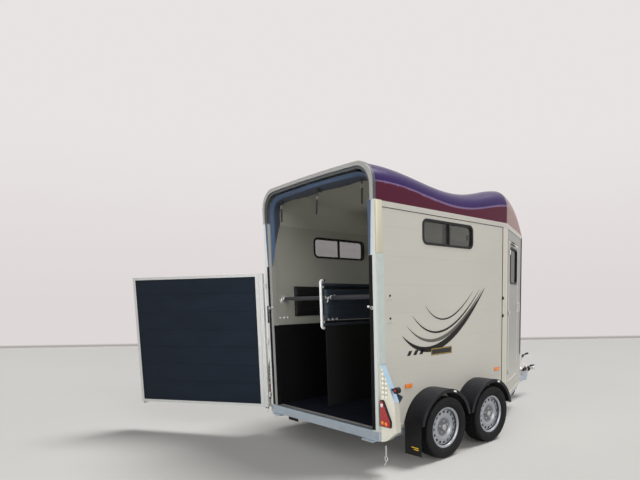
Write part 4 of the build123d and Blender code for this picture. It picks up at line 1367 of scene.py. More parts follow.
@dataclass
class Studio:
    """A pale floor that ends in a pale backdrop, two soft suns, a fill and an even sky.

    The backdrop is the world itself, so it is plain from every side. The floor darkens over its last
    shade_depth metres and ends at the foot of the wall. Past it the floor takes the backdrop's
    colour: the foot's own up to the first distance of foot_fade, and the wall's from the second.
    """

    floor_half: float = 150.0
    floor_colour: Colour = screen(190, 188, 184)
    wall_colour: Colour = screen(222, 215, 215)
    upper_colour: Colour = screen(231, 227, 226)
    foot_colour: Colour = screen(158, 154, 151)
    wall_distance: float = 18.0
    floor_back: float = 2.0
    floor_wider: float = 14.0
    foot_fade: Pair = (0.5, 1.6)
    shade_depth: float = 9.0
    ambient: float = 0.32
    suns: tuple[tuple[str, float, float, Triple], ...] = (("high sun", 2.75, 24.0, (0.42, -0.16, 0.90)),
                                                          ("side sun", 1.45, 40.0, (-0.20, -0.94, 0.28)))
    fill_power: float = 46.0
    fill_size: float = 3.0
    fill_spread: float = 32.0
    fill_from: Triple = (-10.5, -0.6, 1.9)
    fill_to: Triple = (0.6, 0.1, 1.3)

    def seen(self, graph: Graph) -> Value:
        """1 for rays that show the backdrop itself: straight, mirrored or through glass.

        Args:
            graph: the material's nodes.

        Returns:
            The mask.
        """
        path = graph.node("ShaderNodeLightPath").outputs
        straight = Value(graph, path["Is Camera Ray"]).most(Value(graph, path["Is Glossy Ray"]))
        return straight.most(Value(graph, path["Is Transmission Ray"]))

    def floor(self, camera: PhotoCamera) -> None:
        """Lay the floor, square to the photograph's view.

        Args:
            camera: the camera that the wall's foot runs across.
        """
        half = self.floor_half
        corners = row([-half, half, half, -half], [-half, -half, half, half], -0.0005)
        mesh = bpy.data.meshes.new("studio floor")
        mesh.from_pydata([tuple(point) for point in corners], [], [(0, 1, 2, 3)])
        piece = link("studio floor", mesh)
        graph = Graph(bpy.data.materials.new("studio floor"))
        x, y, _ = graph.axes()
        yaw = math.radians(camera.yaw)
        foot_x, foot_y, _ = at(*camera.place)
        ahead = (x - foot_x) * math.cos(yaw) + (y - foot_y) * math.sin(yaw)
        across = (x - foot_x) * math.sin(yaw) - (y - foot_y) * math.cos(yaw)
        centre_ahead = self.wall_distance / 2 - self.floor_back
        reach = (ahead - centre_ahead).size().most(across.size() - self.floor_wider)
        edge = self.wall_distance - centre_ahead
        wall = reach.step(edge, edge + 0.05)
        foot = reach.step(edge - 0.1, edge) * reach.step(edge + self.foot_fade[1], edge + self.foot_fade[0])
        cloud = graph.noise(0.5, 2.0)
        shown = graph.mix(cloud, tint(self.floor_colour, 0.97), tint(self.floor_colour, 1.03))
        shown = graph.mix(reach.step(edge - self.shade_depth, edge) * 0.25, shown, tint(self.floor_colour, 0.8))
        diffuse = graph.node("ShaderNodeBsdfDiffuse", {}, {"Color": shown})
        plain = graph.mix(foot * 0.85, self.wall_colour, self.foot_colour)
        light = graph.node("ShaderNodeEmission", {}, {"Color": plain, "Strength": 1.0})
        mesh.materials.append(graph.show(graph.blend(self.seen(graph) * wall, diffuse, light)))

    def sky(self) -> None:
        """Fill the world with the backdrop's colour, and light the trailer evenly with it."""
        world = bpy.data.worlds.new("studio")
        bpy.context.scene.world = world
        graph = Graph(world)
        _, _, up = graph.axes(graph.node("ShaderNodeTexCoord").outputs["Generated"])
        shown = graph.mix(up.step(-0.02, 0.30), self.wall_colour, self.upper_colour)
        backdrop = graph.node("ShaderNodeBackground", {}, {"Color": shown, "Strength": 1.0})
        glow = graph.node("ShaderNodeBackground", {}, {"Color": (0.95, 0.97, 1.0), "Strength": self.ambient})
        graph.show(graph.blend(self.seen(graph), glow, backdrop))

    def lamp(self, name: str, kind: str, way: Vector, settings: dict, place: Triple = (0, 0, 0)) -> None:
        """Add a lamp; an area lamp isn't seen itself.

        Args:
            name: its name.
            kind: its type.
            way: the way that it shines.
            settings: its own settings.
            place: where it stands.
        """
        data = bpy.data.lights.new(name, kind)
        for key, value in settings.items():
            setattr(data, key, value)
        turn = way.to_track_quat("-Z", "Y").to_matrix().to_4x4()
        made = link(name, data, Matrix.Translation(place) @ turn)
        if kind == "AREA":
            made.visible_glossy = made.visible_camera = False

    def lamps(self) -> None:
        """A high sun for the shadow on the floor, a low one for the side and a lamp that reaches inside."""
        for name, power, angle, start in self.suns:
            self.lamp(name, "SUN", -Vector(start), {"energy": power, "angle": math.radians(angle)})
        start, end = Vector(at(*self.fill_from)), Vector(at(*self.fill_to))
        self.lamp("fill", "AREA", end - start, {"energy": self.fill_power, "size": self.fill_size,
                                                "spread": math.radians(self.fill_spread)}, start)

    def build(self, camera: PhotoCamera) -> None:
        """Make the stage, the world and the lamps.

        Args:
            camera: the camera that the wall's foot runs across.
        """
        self.floor(camera)
        self.sky()
        self.lamps()
        bpy.context.scene.view_settings.view_transform = "Standard"


# The trailer


class SubAssembly:
    """A part of the trailer that is built and then dressed."""

    finishes: dict[Finish, tuple[str, ...]] = {}

    def build(self) -> None:
        """Make the pieces that the CAD leaves to this script."""

    def dress(self) -> None:
        """Finish the CAD nodes."""
        for finish, nodes in self.finishes.items():
            for node in nodes:
                paint(node, finish)


@dataclass
class Bodywork(SubAssembly):
    """Walls, rails and corner strips, with their rivets, the posts' rubber seal strips, dark gap strips, bolts and
    buttons.
    """

    rivet_pitch: float = 0.15
    rivet_radius: float = 0.0045
    rosette_heights: Pair = (1.53, 1.33)
    rosette_station: float = 0.155
    rosette_radius: float = 0.024
    column_station: float = 1.943
    button_heights: Pair = (1.52, 1.32)
    finishes = {
        Finishes.wall: ("side_wall_left", "side_wall_right", "corner_wall_left", "corner_wall_right", "front_wall",
                        "groom_door_panel"),
        Finishes.rail: ("top_rail", "base_rail"), Finishes.corner: ("corner_trims", "groom_door_frame"),
        Finishes.upright: ("groom_hinge_lugs",), Finishes.post: ("rear_posts",)}

    def rivets(self) -> None:
        """Rows of rivets along the rails, on the sides and the corner panels."""
        skin = Skin()
        side = np.arange(0.12, SIDE_LENGTH - 0.1, self.rivet_pitch)
        nose = np.arange(0.08, 1.18, self.rivet_pitch)
        head = (self.rivet_radius, 0.002, 8)
        for height in (WALL_TOP - 0.024, WALL_BOTTOM + 0.017):
            skin.studs(row(side, -HALF_BODY - 0.005, height), OUTWARD, *head)
            skin.studs(corner_panel(nose, 0.005, height), corner_lift(1.0), *head)
        column = np.arange(0.45, 2.28, self.rivet_pitch)
        skin.studs(row(self.column_station + 0.036, -HALF_BODY - 0.004, column), OUTWARD, *head)
        skin.mirrored().build("rail_rivets", Finishes.zinc, "anodised")

    def seals(self) -> None:
        """Dark strips under the top rail, as painted shade in the gap there, and beside the corner strip."""
        skin = Skin()
        # Painted shade: a dark strip in the gap under the top rail.
        skin.block(at(0.05, -HALF_BODY - 0.0024, WALL_TOP - 0.0535), at(1.94, -HALF_BODY + 0.001, WALL_TOP - 0.0475),
                   0.001)
        skin.block(at(self.column_station - 0.009, -HALF_BODY - 0.0024, WALL_BOTTOM + 0.034),
                   at(self.column_station - 0.003, -HALF_BODY + 0.001, WALL_TOP - 0.05), 0.001)
        skin.mirrored().build("wall_dark_gap_strips", Finishes.rubber, "black_rubber")

    def bolts(self) -> None:
        """Groups of three bolts near the rear, and black buttons on the corner strip."""
        angles = np.radians([90.0, 210.0, 330.0])
        pale, dark = Skin(), Skin()
        for height in self.rosette_heights:
            ring = row(self.rosette_station + self.rosette_radius * np.cos(angles), -HALF_BODY,
                       height + self.rosette_radius * np.sin(angles))
            pale.studs(ring[1:], OUTWARD, 0.0095, 0.006, 12)
            dark.studs(ring[:1], OUTWARD, 0.0105, 0.007, 12)
        dark.studs(row(self.column_station + 0.004, -HALF_BODY - 0.003, self.button_heights), OUTWARD,
                   0.019, 0.009, 18)
        pale.mirrored().build("wall_bolts", Finishes.zinc, "zinc")
        dark.mirrored().build("wall_buttons", Finishes.rubber, "black_rubber")

    def strips(self) -> None:
        """A cover strip on the upper part of each post, a rubber seal down each post, a drip strip over the groom
        window, and a dark strip down each nose edge, partly the corner profile and partly painted shade.
        """
        skin = Skin()
        skin.block(at(-0.02, -POST_OUTER - 0.008, 1.915), at(0.05, -POST_OUTER, 2.352), 0.002)
        skin.mirrored().build("post_cover_strips", Finishes.cream_strip, "anodised")
        rubber = Skin().block(at(-0.0322, -0.853, 0.372), at(-0.0295, -0.8085, 1.900), 0.001)
        rubber.mirrored().build("post_seals", Finishes.seal, "black_rubber")
        drip = Skin()
        for low, high, height in ((0.30, 0.64, 2.158), (0.34, 0.60, 2.182)):
            outline = corner_panel([low, high, high, low], 0.0005, [height, height, height + 0.007, height + 0.007])
            drip.plate(outline, corner_lift(0.008), 0.001)
        drip.build("drip_strips", Finishes.rubber, "black_rubber", "groom_door")
        # Painted shade: the dark strip down the nose edge stands partly for the corner profile and partly for the
        # shade there.
        low, high = NOSE_EDGE - 0.062, NOSE_EDGE - 0.004
        outline = corner_panel([low, high, high, low], 0.0045, [0.74, 0.74, 2.335, 2.335])
        nose = Skin().plate(outline, corner_lift(0.0012), 0.0004)
        nose.mirrored().build("nose_edge_shade_strips", Finishes.seal, "black_rubber")

    def build(self) -> None:
        """Make what the walls carry."""
        self.rivets()
        self.seals()
        self.bolts()
        self.strips()


@dataclass
class Markings(SubAssembly):
    """A plain sweep of film on each side wall, with a blank plate."""

    film: float = 0.0006
    steps: int = 72

    def ribbon(self, skin: Skin, points: Sequence[Pair], width: float, power: float) -> None:
        """Add one sweep whose width swells as width * sin(pi t) ** power.

        Args:
            skin: what it is added to.
            points: its four control points, in (x, z) from the rear datum.
            width: its greatest width.
            power: how quickly its ends widen.
        """
        line = bezier(points, self.steps)
        ahead = np.gradient(line, axis=0)
        ahead /= np.linalg.norm(ahead, axis=1)[:, None]
        across = np.column_stack([-ahead[:, 1], ahead[:, 0]])
        t = np.linspace(0, 1, self.steps)
        half = (width / 2 * np.clip(np.sin(np.pi * t), 0, 1) ** power + 0.0006)[:, None]
        flat = np.stack([line + across * half * place for place in (-1.0, 0.0, 1.0)], axis=1)
        skin.grid(row(flat[..., 0], -HALF_BODY - self.film, flat[..., 1]))

    def build(self) -> None:
        """Lay the sweeps, the short bars and the plate, and mirror them to the left wall."""
        dark, grey, plate = Skin(), Skin(), Skin()
        self.ribbon(dark, ((0.30, 1.19), (0.66, 0.86), (1.12, 1.10), (1.60, 1.64)), 0.060, 0.75)
        self.ribbon(dark, ((0.44, 1.37), (0.74, 1.04), (1.12, 1.22), (1.50, 1.62)), 0.020, 0.6)
        self.ribbon(dark, ((0.62, 1.46), (0.84, 1.20), (1.12, 1.34), (1.38, 1.60)), 0.014, 0.6)
        self.ribbon(grey, ((0.36, 1.28), (0.70, 0.95), (1.12, 1.16), (1.56, 1.63)), 0.034, 0.8)
        for index in range(3):
            start = 0.36 + 0.085 * index
            ring = row([start, start + 0.045, start + 0.075, start + 0.030], -HALF_BODY, [1.00, 1.00, 1.045, 1.045])
            dark.plate(ring, (0, -self.film, 0), 0.0002)
        outline = rounded(np.array([(0.70, 0.975), (1.02, 0.975), (1.02, 1.045), (0.70, 1.045)]), 0.008)
        plate.plate(row(outline[:, 0], -HALF_BODY, outline[:, 1]), (0, -0.002, 0), 0.0008)
        dark.mirrored().build("dark_markings", Finishes.marking, "wall_paint", closed=False)
        grey.mirrored().build("grey_markings", Finishes.grey_marking, "wall_paint", closed=False)
        plate.mirrored().build("blank_plates", Finishes.plate, "wall_paint")


@dataclass
class Roof(SubAssembly):
    """The roof moulding and the trim round its rear edge."""

    finishes = {Finishes.roof: ("roof_shell",), Finishes.rim_trim: ("roof_rim",)}


@dataclass
class Windows(SubAssembly):
    """Window frames, panes and their catches."""

    catch_station: float = 1.335
    catch_height: float = 2.147
    finishes = {Finishes.black: ("side_window_frames", "groom_window_frame"), Finishes.bright: ("groom_door_handle",),
                Finishes.glass: ("side_window_panes",), Finishes.groom_glass: ("groom_window_pane",)}

    def build(self) -> None:
        """Add the sliding panes' catches inside, and the screws round each inner ring."""
        skin = Skin()
        low = at(self.catch_station - 0.012, HALF_BODY - WALL - 0.022, self.catch_height - 0.028)
        high = at(self.catch_station + 0.012, HALF_BODY - WALL - 0.004, self.catch_height + 0.028)
        skin.block(low, high, 0.004)
        skin.block(at(0.963, HALF_BODY - 0.026, 2.06), at(0.978, HALF_BODY - 0.010, 2.235), 0.003)
        skin.mirrored().build("window_catches", Finishes.black, "black_plastic")
        screws = Skin()
        for height in (2.038, 2.256):
            screws.studs(row(np.linspace(0.66, 1.30, 7), HALF_BODY - WALL - 0.006, height), OUTWARD,
                         0.0035, 0.0016, 8)
        screws.mirrored().build("window_screws", Finishes.zinc, "zinc")


@dataclass
class WheelPart:
    """What a tyre and a rim share: a section turned about the axle, in place of a CAD node."""

    node: str
    body: str
    centre: Triple
    side: int
    steps: int = 288

    def section(self) -> np.ndarray:
        """The section as (radius, across) points; each part has its own.

        Returns:
            Points of shape (n, 2).
        """
        raise NotImplementedError

    def turned(self) -> tuple[np.ndarray, np.ndarray, np.ndarray]:
        """The section laid out at each step round the axle.

        Returns:
            The angles, the radii and the distances across, of shapes (steps, 1), (steps, n) and (steps, n).
        """
        section = self.section()
        angle = np.linspace(0, math.tau, self.steps, endpoint=False)[:, None]
        shape = (self.steps, len(section))
        return angle, np.broadcast_to(section[:, 0], shape).copy(), np.broadcast_to(section[:, 1], shape).copy()

    def finish_up(self, arrays: tuple[np.ndarray, np.ndarray, np.ndarray], closed: bool, ending: str,
                  finish: Finish, slot: str, sharp: float) -> None:
        """Place the points at centre + radius * (cos a, sin a) and across * side, and replace the node.

        Args:
            arrays: the angles, the radii and the distances across.
            closed: whether the section's end joins its start.
            ending: what the piece's name ends in.
            finish: its finish.
            slot: the record's material slot.
            sharp: the angle in degrees past which an edge stays sharp.
        """
        angle, radius, across = arrays
        points = np.stack([radius * np.cos(angle), self.side * across, radius * np.sin(angle)], axis=-1)
        skin = Skin().grid(points + np.array(self.centre), wrap_u=True, wrap_v=closed)
        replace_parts(skin.build(self.node + ending, finish, slot, self.body, sharp), self.node)


@dataclass
class Tyre(WheelPart):
    """One road tyre, with the tread pressed into it."""

    blocks: int = 72
    groove: float = 0.007
    groove_places: tuple[float, ...] = (-0.043, -0.0145, 0.0145, 0.043)
    tread_foot: float = 0.270
    outer_points: int = 48

    def section(self) -> np.ndarray:
        """The closed section as (radius, across) points, evenly spaced along its outer part.

        Returns:
            Points of shape (n, 2).
        """
        across = np.linspace(-0.070, 0.070, 41)
        crown = np.column_stack([0.298 - 0.0035 * (across / 0.07) ** 2, across])
        turn = np.radians(np.linspace(12, 88, 7))
        shoulder = np.column_stack([0.2945 - 0.0215 * (1 - np.cos(turn)), 0.070 + 0.0235 * np.sin(turn)])
        side = np.array([(0.262, 0.0939), (0.250, 0.0943), (0.238, 0.0942), (0.226, 0.0925), (0.214, 0.0885),
                         (0.205, 0.0825), (0.1995, 0.0765), (0.1968, 0.0712)])
        bead = np.array([(0.1790, 0.0685), (0.1785, 0.0590), (0.196, 0.0620), (0.215, 0.0740), (0.240, 0.0815),
                         (0.262, 0.0800), (0.284, 0.0640), (0.2868, 0.0)])
        right = np.concatenate([shoulder, side, bead])
        left = right[::-1] * [1.0, -1.0]
        return np.concatenate([crown, right, left[1:]])

    def build(self, finish: Finish) -> None:
        """Turn the section and press four grooves and the side slots into the tread.

        Args:
            finish: the rubber.
        """
        angle, radius, across = self.turned()
        outer = (radius > self.tread_foot) & (np.arange(radius.shape[1]) < self.outer_points)
        zigzag = 0.0016 * np.sign(np.sin(angle * self.blocks))
        rings = np.zeros_like(radius)
        for place in self.groove_places:
            rings = np.maximum(rings, np.clip(2.2 - np.abs(across - place - zigzag) / 0.0024, 0, 1))
        slots = (np.sin(angle * self.blocks + 26.0 * np.abs(across)) > 0.62) & (np.abs(across) > 0.050)
        slots = slots | ((np.sin(angle * self.blocks * 0.5 - 40.0 * across) > 0.93) & (np.abs(across) < 0.036))
        radius -= np.where(outer, self.groove * np.maximum(rings, 0.75 * slots), 0.0)
        self.finish_up((angle, radius, across), True, "_tread", finish, "tyre", 50.0)


@dataclass
class Rim(WheelPart):
    """One pressed steel wheel, with vents pressed into its disc."""

    steps: int = 256
    vents: int = 16
    circle: float = 0.149
    pocket: float = 0.011
    vent_half: Pair = (0.0150, 0.0108)
    front_points: int = 34

    def section(self) -> np.ndarray:
        """The section as (radius, outboard) points from the hub, over the disc and the barrel, and back.

        Returns:
            Points of shape (n, 2).
        """
        inner = [(0.0, 0.034), (0.030, 0.034), (0.050, 0.034), (0.068, 0.0345), (0.078, 0.036), (0.086, 0.041),
                 (0.094, 0.047), (0.102, 0.0515), (0.109, 0.054), (0.116, 0.0548), (0.122, 0.054), (0.127, 0.0522)]
        vented = np.column_stack([np.linspace(0.130, 0.168, 20), np.linspace(0.0512, 0.0465, 20)])
        edge = [(0.1695, 0.0455), (0.1715, 0.043), (0.1725, 0.038), (0.173, 0.030), (0.1732, 0.026), (0.1736, 0.058),
                (0.1745, 0.064), (0.178, 0.0682), (0.184, 0.0698), (0.190, 0.0703), (0.1935, 0.0715),
                (0.1952, 0.0735), (0.1952, 0.0747), (0.193, 0.075), (0.188, 0.0738), (0.182, 0.0715),
                (0.1775, 0.066), (0.1775, -0.069), (0.184, -0.0712), (0.195, -0.0715), (0.195, -0.0748),
                (0.180, -0.0745), (0.173, -0.068), (0.172, 0.020), (0.165, 0.030), (0.130, 0.038),
                (0.115, 0.036), (0.1148, -0.061), (0.0, -0.0615)]
        return np.concatenate([inner, vented, edge])

    def build(self, finish: Finish) -> None:
        """Press each vent in where its ellipse, (across/half)^2 + (out/half)^2, is under 1, with a lip.

        Args:
            finish: the paint.
        """
        angle, radius, along = self.turned()
        pitch = math.tau / self.vents
        turn = (angle + pitch / 2) % pitch - pitch / 2
        shape = np.hypot(turn * self.circle / self.vent_half[0], (radius - self.circle) / self.vent_half[1])
        front = np.arange(radius.shape[1]) < self.front_points
        press = np.clip((1.12 - shape) / 0.24, 0, 1)
        lip = np.clip(1 - np.abs(shape - 1.30) / 0.22, 0, 1)
        along += np.where(front, lip * 0.0012 - press * self.pocket, 0.0)
        self.finish_up((angle, radius, along), False, "_disc", finish, "rim_silver", 55.0)


@dataclass
class RunningGear(SubAssembly):
    """Wheels, axles, mudguards and the frame under the floor."""

    guard_radius: float = 0.374
    guard_outer: float = 1.098
    bolt_circle: float = 0.056
    bolt_count: int = 5
    tread_half: float = 0.80
    tooth_pitch: float = 0.02
    finishes = {Finishes.guard: ("mudguards",), Finishes.rubber: ("mud_flaps",), Finishes.chock: ("wheel_chock",),
                Finishes.galvanised: ("axles", "chassis_frame", "drawbar", "rear_sill")}

    def wheels(self) -> None:
        """Make the tyres, the wheel bolts, the hub caps and the valves."""
        for end in ("front", "rear"):
            for side in Side:
                name = f"{end}_{side.name.lower()}"
                centre = middle(f"tyre_{name}")
                axle = (centre[0], centre[2])
                rubber = TyreRubber(f"tyre rubber {end}", screen(19, 19, 20), 0.66, axle=axle)
                Tyre(f"tyre_{name}", f"wheel_{name}", centre, 1).build(rubber)
                silver = WheelPaint(f"wheel paint {end}", screen(166, 169, 176), 0.3, axle=axle)
                Rim(f"rim_{name}", f"wheel_{name}", centre, side.value).build(silver)
                out = (0.0, float(side.value), 0.0)
                face = centre + np.array([0, side.value * 0.034, 0])
                angles = np.linspace(0, math.tau, self.bolt_count, endpoint=False) + 0.3
                ring = np.column_stack([np.cos(angles), np.zeros(len(angles)), np.sin(angles)]) * self.bolt_circle
                bright = Skin().studs(face + ring, out, 0.0105, 0.013, 6)
                bright.turned([(0, 0), (0.0295, 0), (0.0295, 0.019), (0.027, 0.025), (0.018, 0.028), (0, 0.029)],
                              face - np.array(out) * 0.003, out, 32)
                bright.build(f"wheel_bolts_{name}", Finishes.zinc, "zinc", f"wheel_{name}")
                stem = face + np.array([0.148, side.value * 0.008, 0.02])
                valve = Skin().turned([(0, 0), (0.005, 0), (0.004, 0.028), (0, 0.028)], stem, out, 10)
                valve.build(f"valve_{name}", Finishes.rubber, "black_rubber", f"wheel_{name}")

    def guards(self) -> None:
        """Beads round the mudguards' lips, screws that hold them and a small pale label on each."""
        bead, screws, label = Skin(), Skin(), Skin()
        for station in (0.678, 1.427):
            angles = np.radians(np.linspace(13, 167, 60))
            for reach, size in ((self.guard_radius - 0.003, 0.0045), (0.3425, 0.0035)):
                bead.tube(row(station + reach * np.cos(angles), -self.guard_outer + 0.0035,
                              AXLE_HEIGHT + reach * np.sin(angles)), size, 8)
            middle_angle = math.radians(72)
            ahead = np.array([-math.sin(middle_angle), 0, math.cos(middle_angle)])
            out = np.array([math.cos(middle_angle), 0, math.sin(middle_angle)])
            place = np.array([station, -self.guard_outer, AXLE_HEIGHT]) + out * 0.357 + DATUM
            signs = np.array([(-1, -1), (1, -1), (1, 1), (-1, 1)])
            label.plate(place + signs[:, :1] * ahead * 0.022 + signs[:, 1:] * out * 0.008, (0, -0.001, 0), 0.0004)
            screws.studs(np.array(at(station, -HALF_BODY - 0.03, AXLE_HEIGHT + 0.3745)), (0, 0, 1), 0.006, 0.003, 10)
        low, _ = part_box("mud_flaps")
        yellow = Skin()
        for height, width in ((0.165, 0.085), (0.148, 0.060)):
            yellow.block((low[0] - 0.0012, -1.055, height + GROUND),
                         (low[0] + 0.0005, -1.055 + width, height + 0.009 + GROUND), 0.0004)
        yellow.mirrored().build("flap_markings", Finishes.yellow_marking, "black_rubber")
        bead.mirrored().build("mudguard_beads", Finishes.guard, "black_plastic")
        screws.mirrored().build("mudguard_screws", Finishes.zinc, "zinc")
        label.mirrored().build("mudguard_labels", Finishes.white_marking, "black_plastic")

    def sill(self) -> None:
        """A toothed tread strip along the sill, with its bolts, and rings on the feet."""
        across = np.linspace(-self.tread_half, self.tread_half, 641)
        tooth = 0.5 + 0.5 * np.sign(np.sin(across * math.tau / self.tooth_pitch))
        top = 0.3655 + 0.0035 * tooth
        profile = ((-0.0325, 0.352), (-0.0325, top), (-0.012, top), (-0.012, 0.3645))
        tread = Skin().grid(np.stack([row(x, across, z) for x, z in profile]), wrap_u=True)
        tread.build("sill_tread", Finishes.galvanised, "galvanised", sharp=20.0)
        skin = Skin().studs(row(-0.030, np.arange(-0.82, 0.83, 0.205), 0.320), (-1, 0, 0), 0.008, 0.005, 6)
        skin.ring(at(-0.045, 0.78, 0.248), (1, 0, 0), 0.013, 0.002)
        skin.build("sill_bolts", Finishes.zinc, "zinc")

    def build(self) -> None:
        """Make the wheels' and mudguards' details and the sill's tread."""
        self.wheels()
        self.guards()
        self.sill()


@dataclass
class Lamps(SubAssembly):
    """Rear lamps, marker lamps and side reflectors."""

    housing: tuple[Pair, ...] = ((0.010, 0.652), (0.044, 0.652), (0.136, 0.474), (0.136, 0.416), (0.010, 0.416))
    lens: tuple[Pair, ...] = ((0.017, 0.644), (0.041, 0.644), (0.129, 0.473), (0.129, 0.423), (0.017, 0.423))
    finishes = {Finishes.rubber: ("marker_lamps",), Finishes.amber_lens: ("side_reflectors",),
                Finishes.bracket: ("lamp_brackets",)}

    def outline(self, corners: Sequence[Pair], x: float, radius: float) -> np.ndarray:
        """An outline on the right, facing the rear.

        Args:
            corners: (distance outside the post, height) corners.
            x: its station.
            radius: how far its corners are rounded.

        Returns:
            The points in the frame.
        """
        flat = rounded(np.array(corners), radius)
        return row(x, -POST_OUTER - flat[:, 0], flat[:, 1])

    def build(self) -> None:
        """Make the housings with their lenses, and the lenses of the marker lamps."""
        housing = Skin().plate(self.outline(self.housing, 0.0, 0.009), (-0.019, 0, 0), 0.003)
        made = housing.mirrored().build("rear_lamp_housings", Finishes.black, "black_plastic")
        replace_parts(made, "rear_lamps")
        red = Skin().plate(self.outline(self.lens, -0.016, 0.008), (-0.0095, 0, 0), 0.003)
        dome = [(0.0, 0.0), (0.017, 0.0), (0.0165, 0.0035), (0.012, 0.006), (0.0, 0.007)]
        small = [(radius * 0.75, height * 0.6) for radius, height in dome]
        red.turned(small, at(-0.006, -POST_OUTER - 0.187, 0.752), (-1, 0, 0), 24)
        red.mirrored().build("red_lenses", Finishes.red_lens, "lamp_red")
        amber = Skin().turned(dome, at(-0.0250, -POST_OUTER - 0.042, 0.454), (-1, 0, 0), 28)
        amber.turned(dome, at(-0.0250, -POST_OUTER - 0.088, 0.450), (-1, 0, 0), 28)
        amber.mirrored().build("amber_lenses", Finishes.amber_lens, "amber")
        clear = Skin().turned(dome, at(-0.0250, -POST_OUTER - 0.036, 0.608), (-1, 0, 0), 28)
        clear.turned(small, at(0.040, -POST_OUTER - 0.187, 0.752), (1, 0, 0), 24)
        clear.mirrored().build("clear_lenses", Finishes.clear_lens, "lamp_red")


@dataclass
class RearDoor(SubAssembly):
    """The rear door, which stands open."""

    pivot: Triple = (-0.052, 0.885, 0.0)
    turn: float = -150.0
    free_edge: float = -0.849
    hinge_edge: float = 0.871
    bottom: float = 0.342
    top: float = 1.828
    finishes = {Finishes.upright: ("rear_door_frame",), Finishes.door_board: ("rear_door_panel",)}

    def build(self) -> None:
        """Draw the rivets, the seal and the latches on the closed door, and turn them open."""
        face_in, face_out = -0.036, -0.068
        y = np.arange(self.free_edge + 0.06, self.hinge_edge - 0.02, 0.19)
        z = np.arange(self.bottom + 0.07, self.top - 0.02, 0.19)
        rivets = Skin()
        for face, axis in ((face_in, (1, 0, 0)), (face_out, (-1, 0, 0))):
            lines = [row(face, y, level) for level in (self.bottom + 0.015, self.top - 0.015)]
            lines += [row(face, edge, z) for edge in (self.free_edge + 0.017, self.hinge_edge - 0.018)]
            rivets.studs(np.concatenate(lines), axis, 0.004, 0.0018, 8)
        low_y, high_y = self.free_edge + 0.034, self.hinge_edge - 0.092
        low_z, high_z = self.bottom + 0.030, self.top - 0.030
        seal = Skin()
        for x in (-0.0405, -0.0665):
            for a, b, c, d in ((low_y, high_y, low_z, low_z + 0.005), (low_y, high_y, high_z - 0.005, high_z),
                               (low_y, low_y + 0.005, low_z, high_z), (high_y - 0.005, high_y, low_z, high_z)):
                seal.block(at(x - 0.001, a, c), at(x + 0.003, b, d), 0.001)
        latch, foot = Skin(), Skin()
        for edge in (self.free_edge + 0.012, self.hinge_edge - 0.042):
            foot.block(at(-0.066, edge, self.bottom - 0.020), at(-0.042, edge + 0.034, self.bottom - 0.001), 0.004)
            latch.ring(at(-0.054, edge + 0.017, self.bottom - 0.040), (0.3, 1, 0), 0.017, 0.0028)
            latch.tube(row(-0.054, edge + np.array([-0.012, 0.010, 0.046]), self.bottom - 0.010), 0.005, 8,
                       up=(0, 0, 1))
        for skin, name, finish, slot in ((rivets, "door_rivets", Finishes.zinc, "anodised"),
                                         (seal, "door_seal", Finishes.rubber, "black_rubber"),
                                         (foot, "door_feet", Finishes.black, "black_plastic"),
                                         (latch, "door_latches", Finishes.bright, "zinc")):
            skin.turned_about(at(*self.pivot), self.turn).build(name, finish, slot, "rear_door")


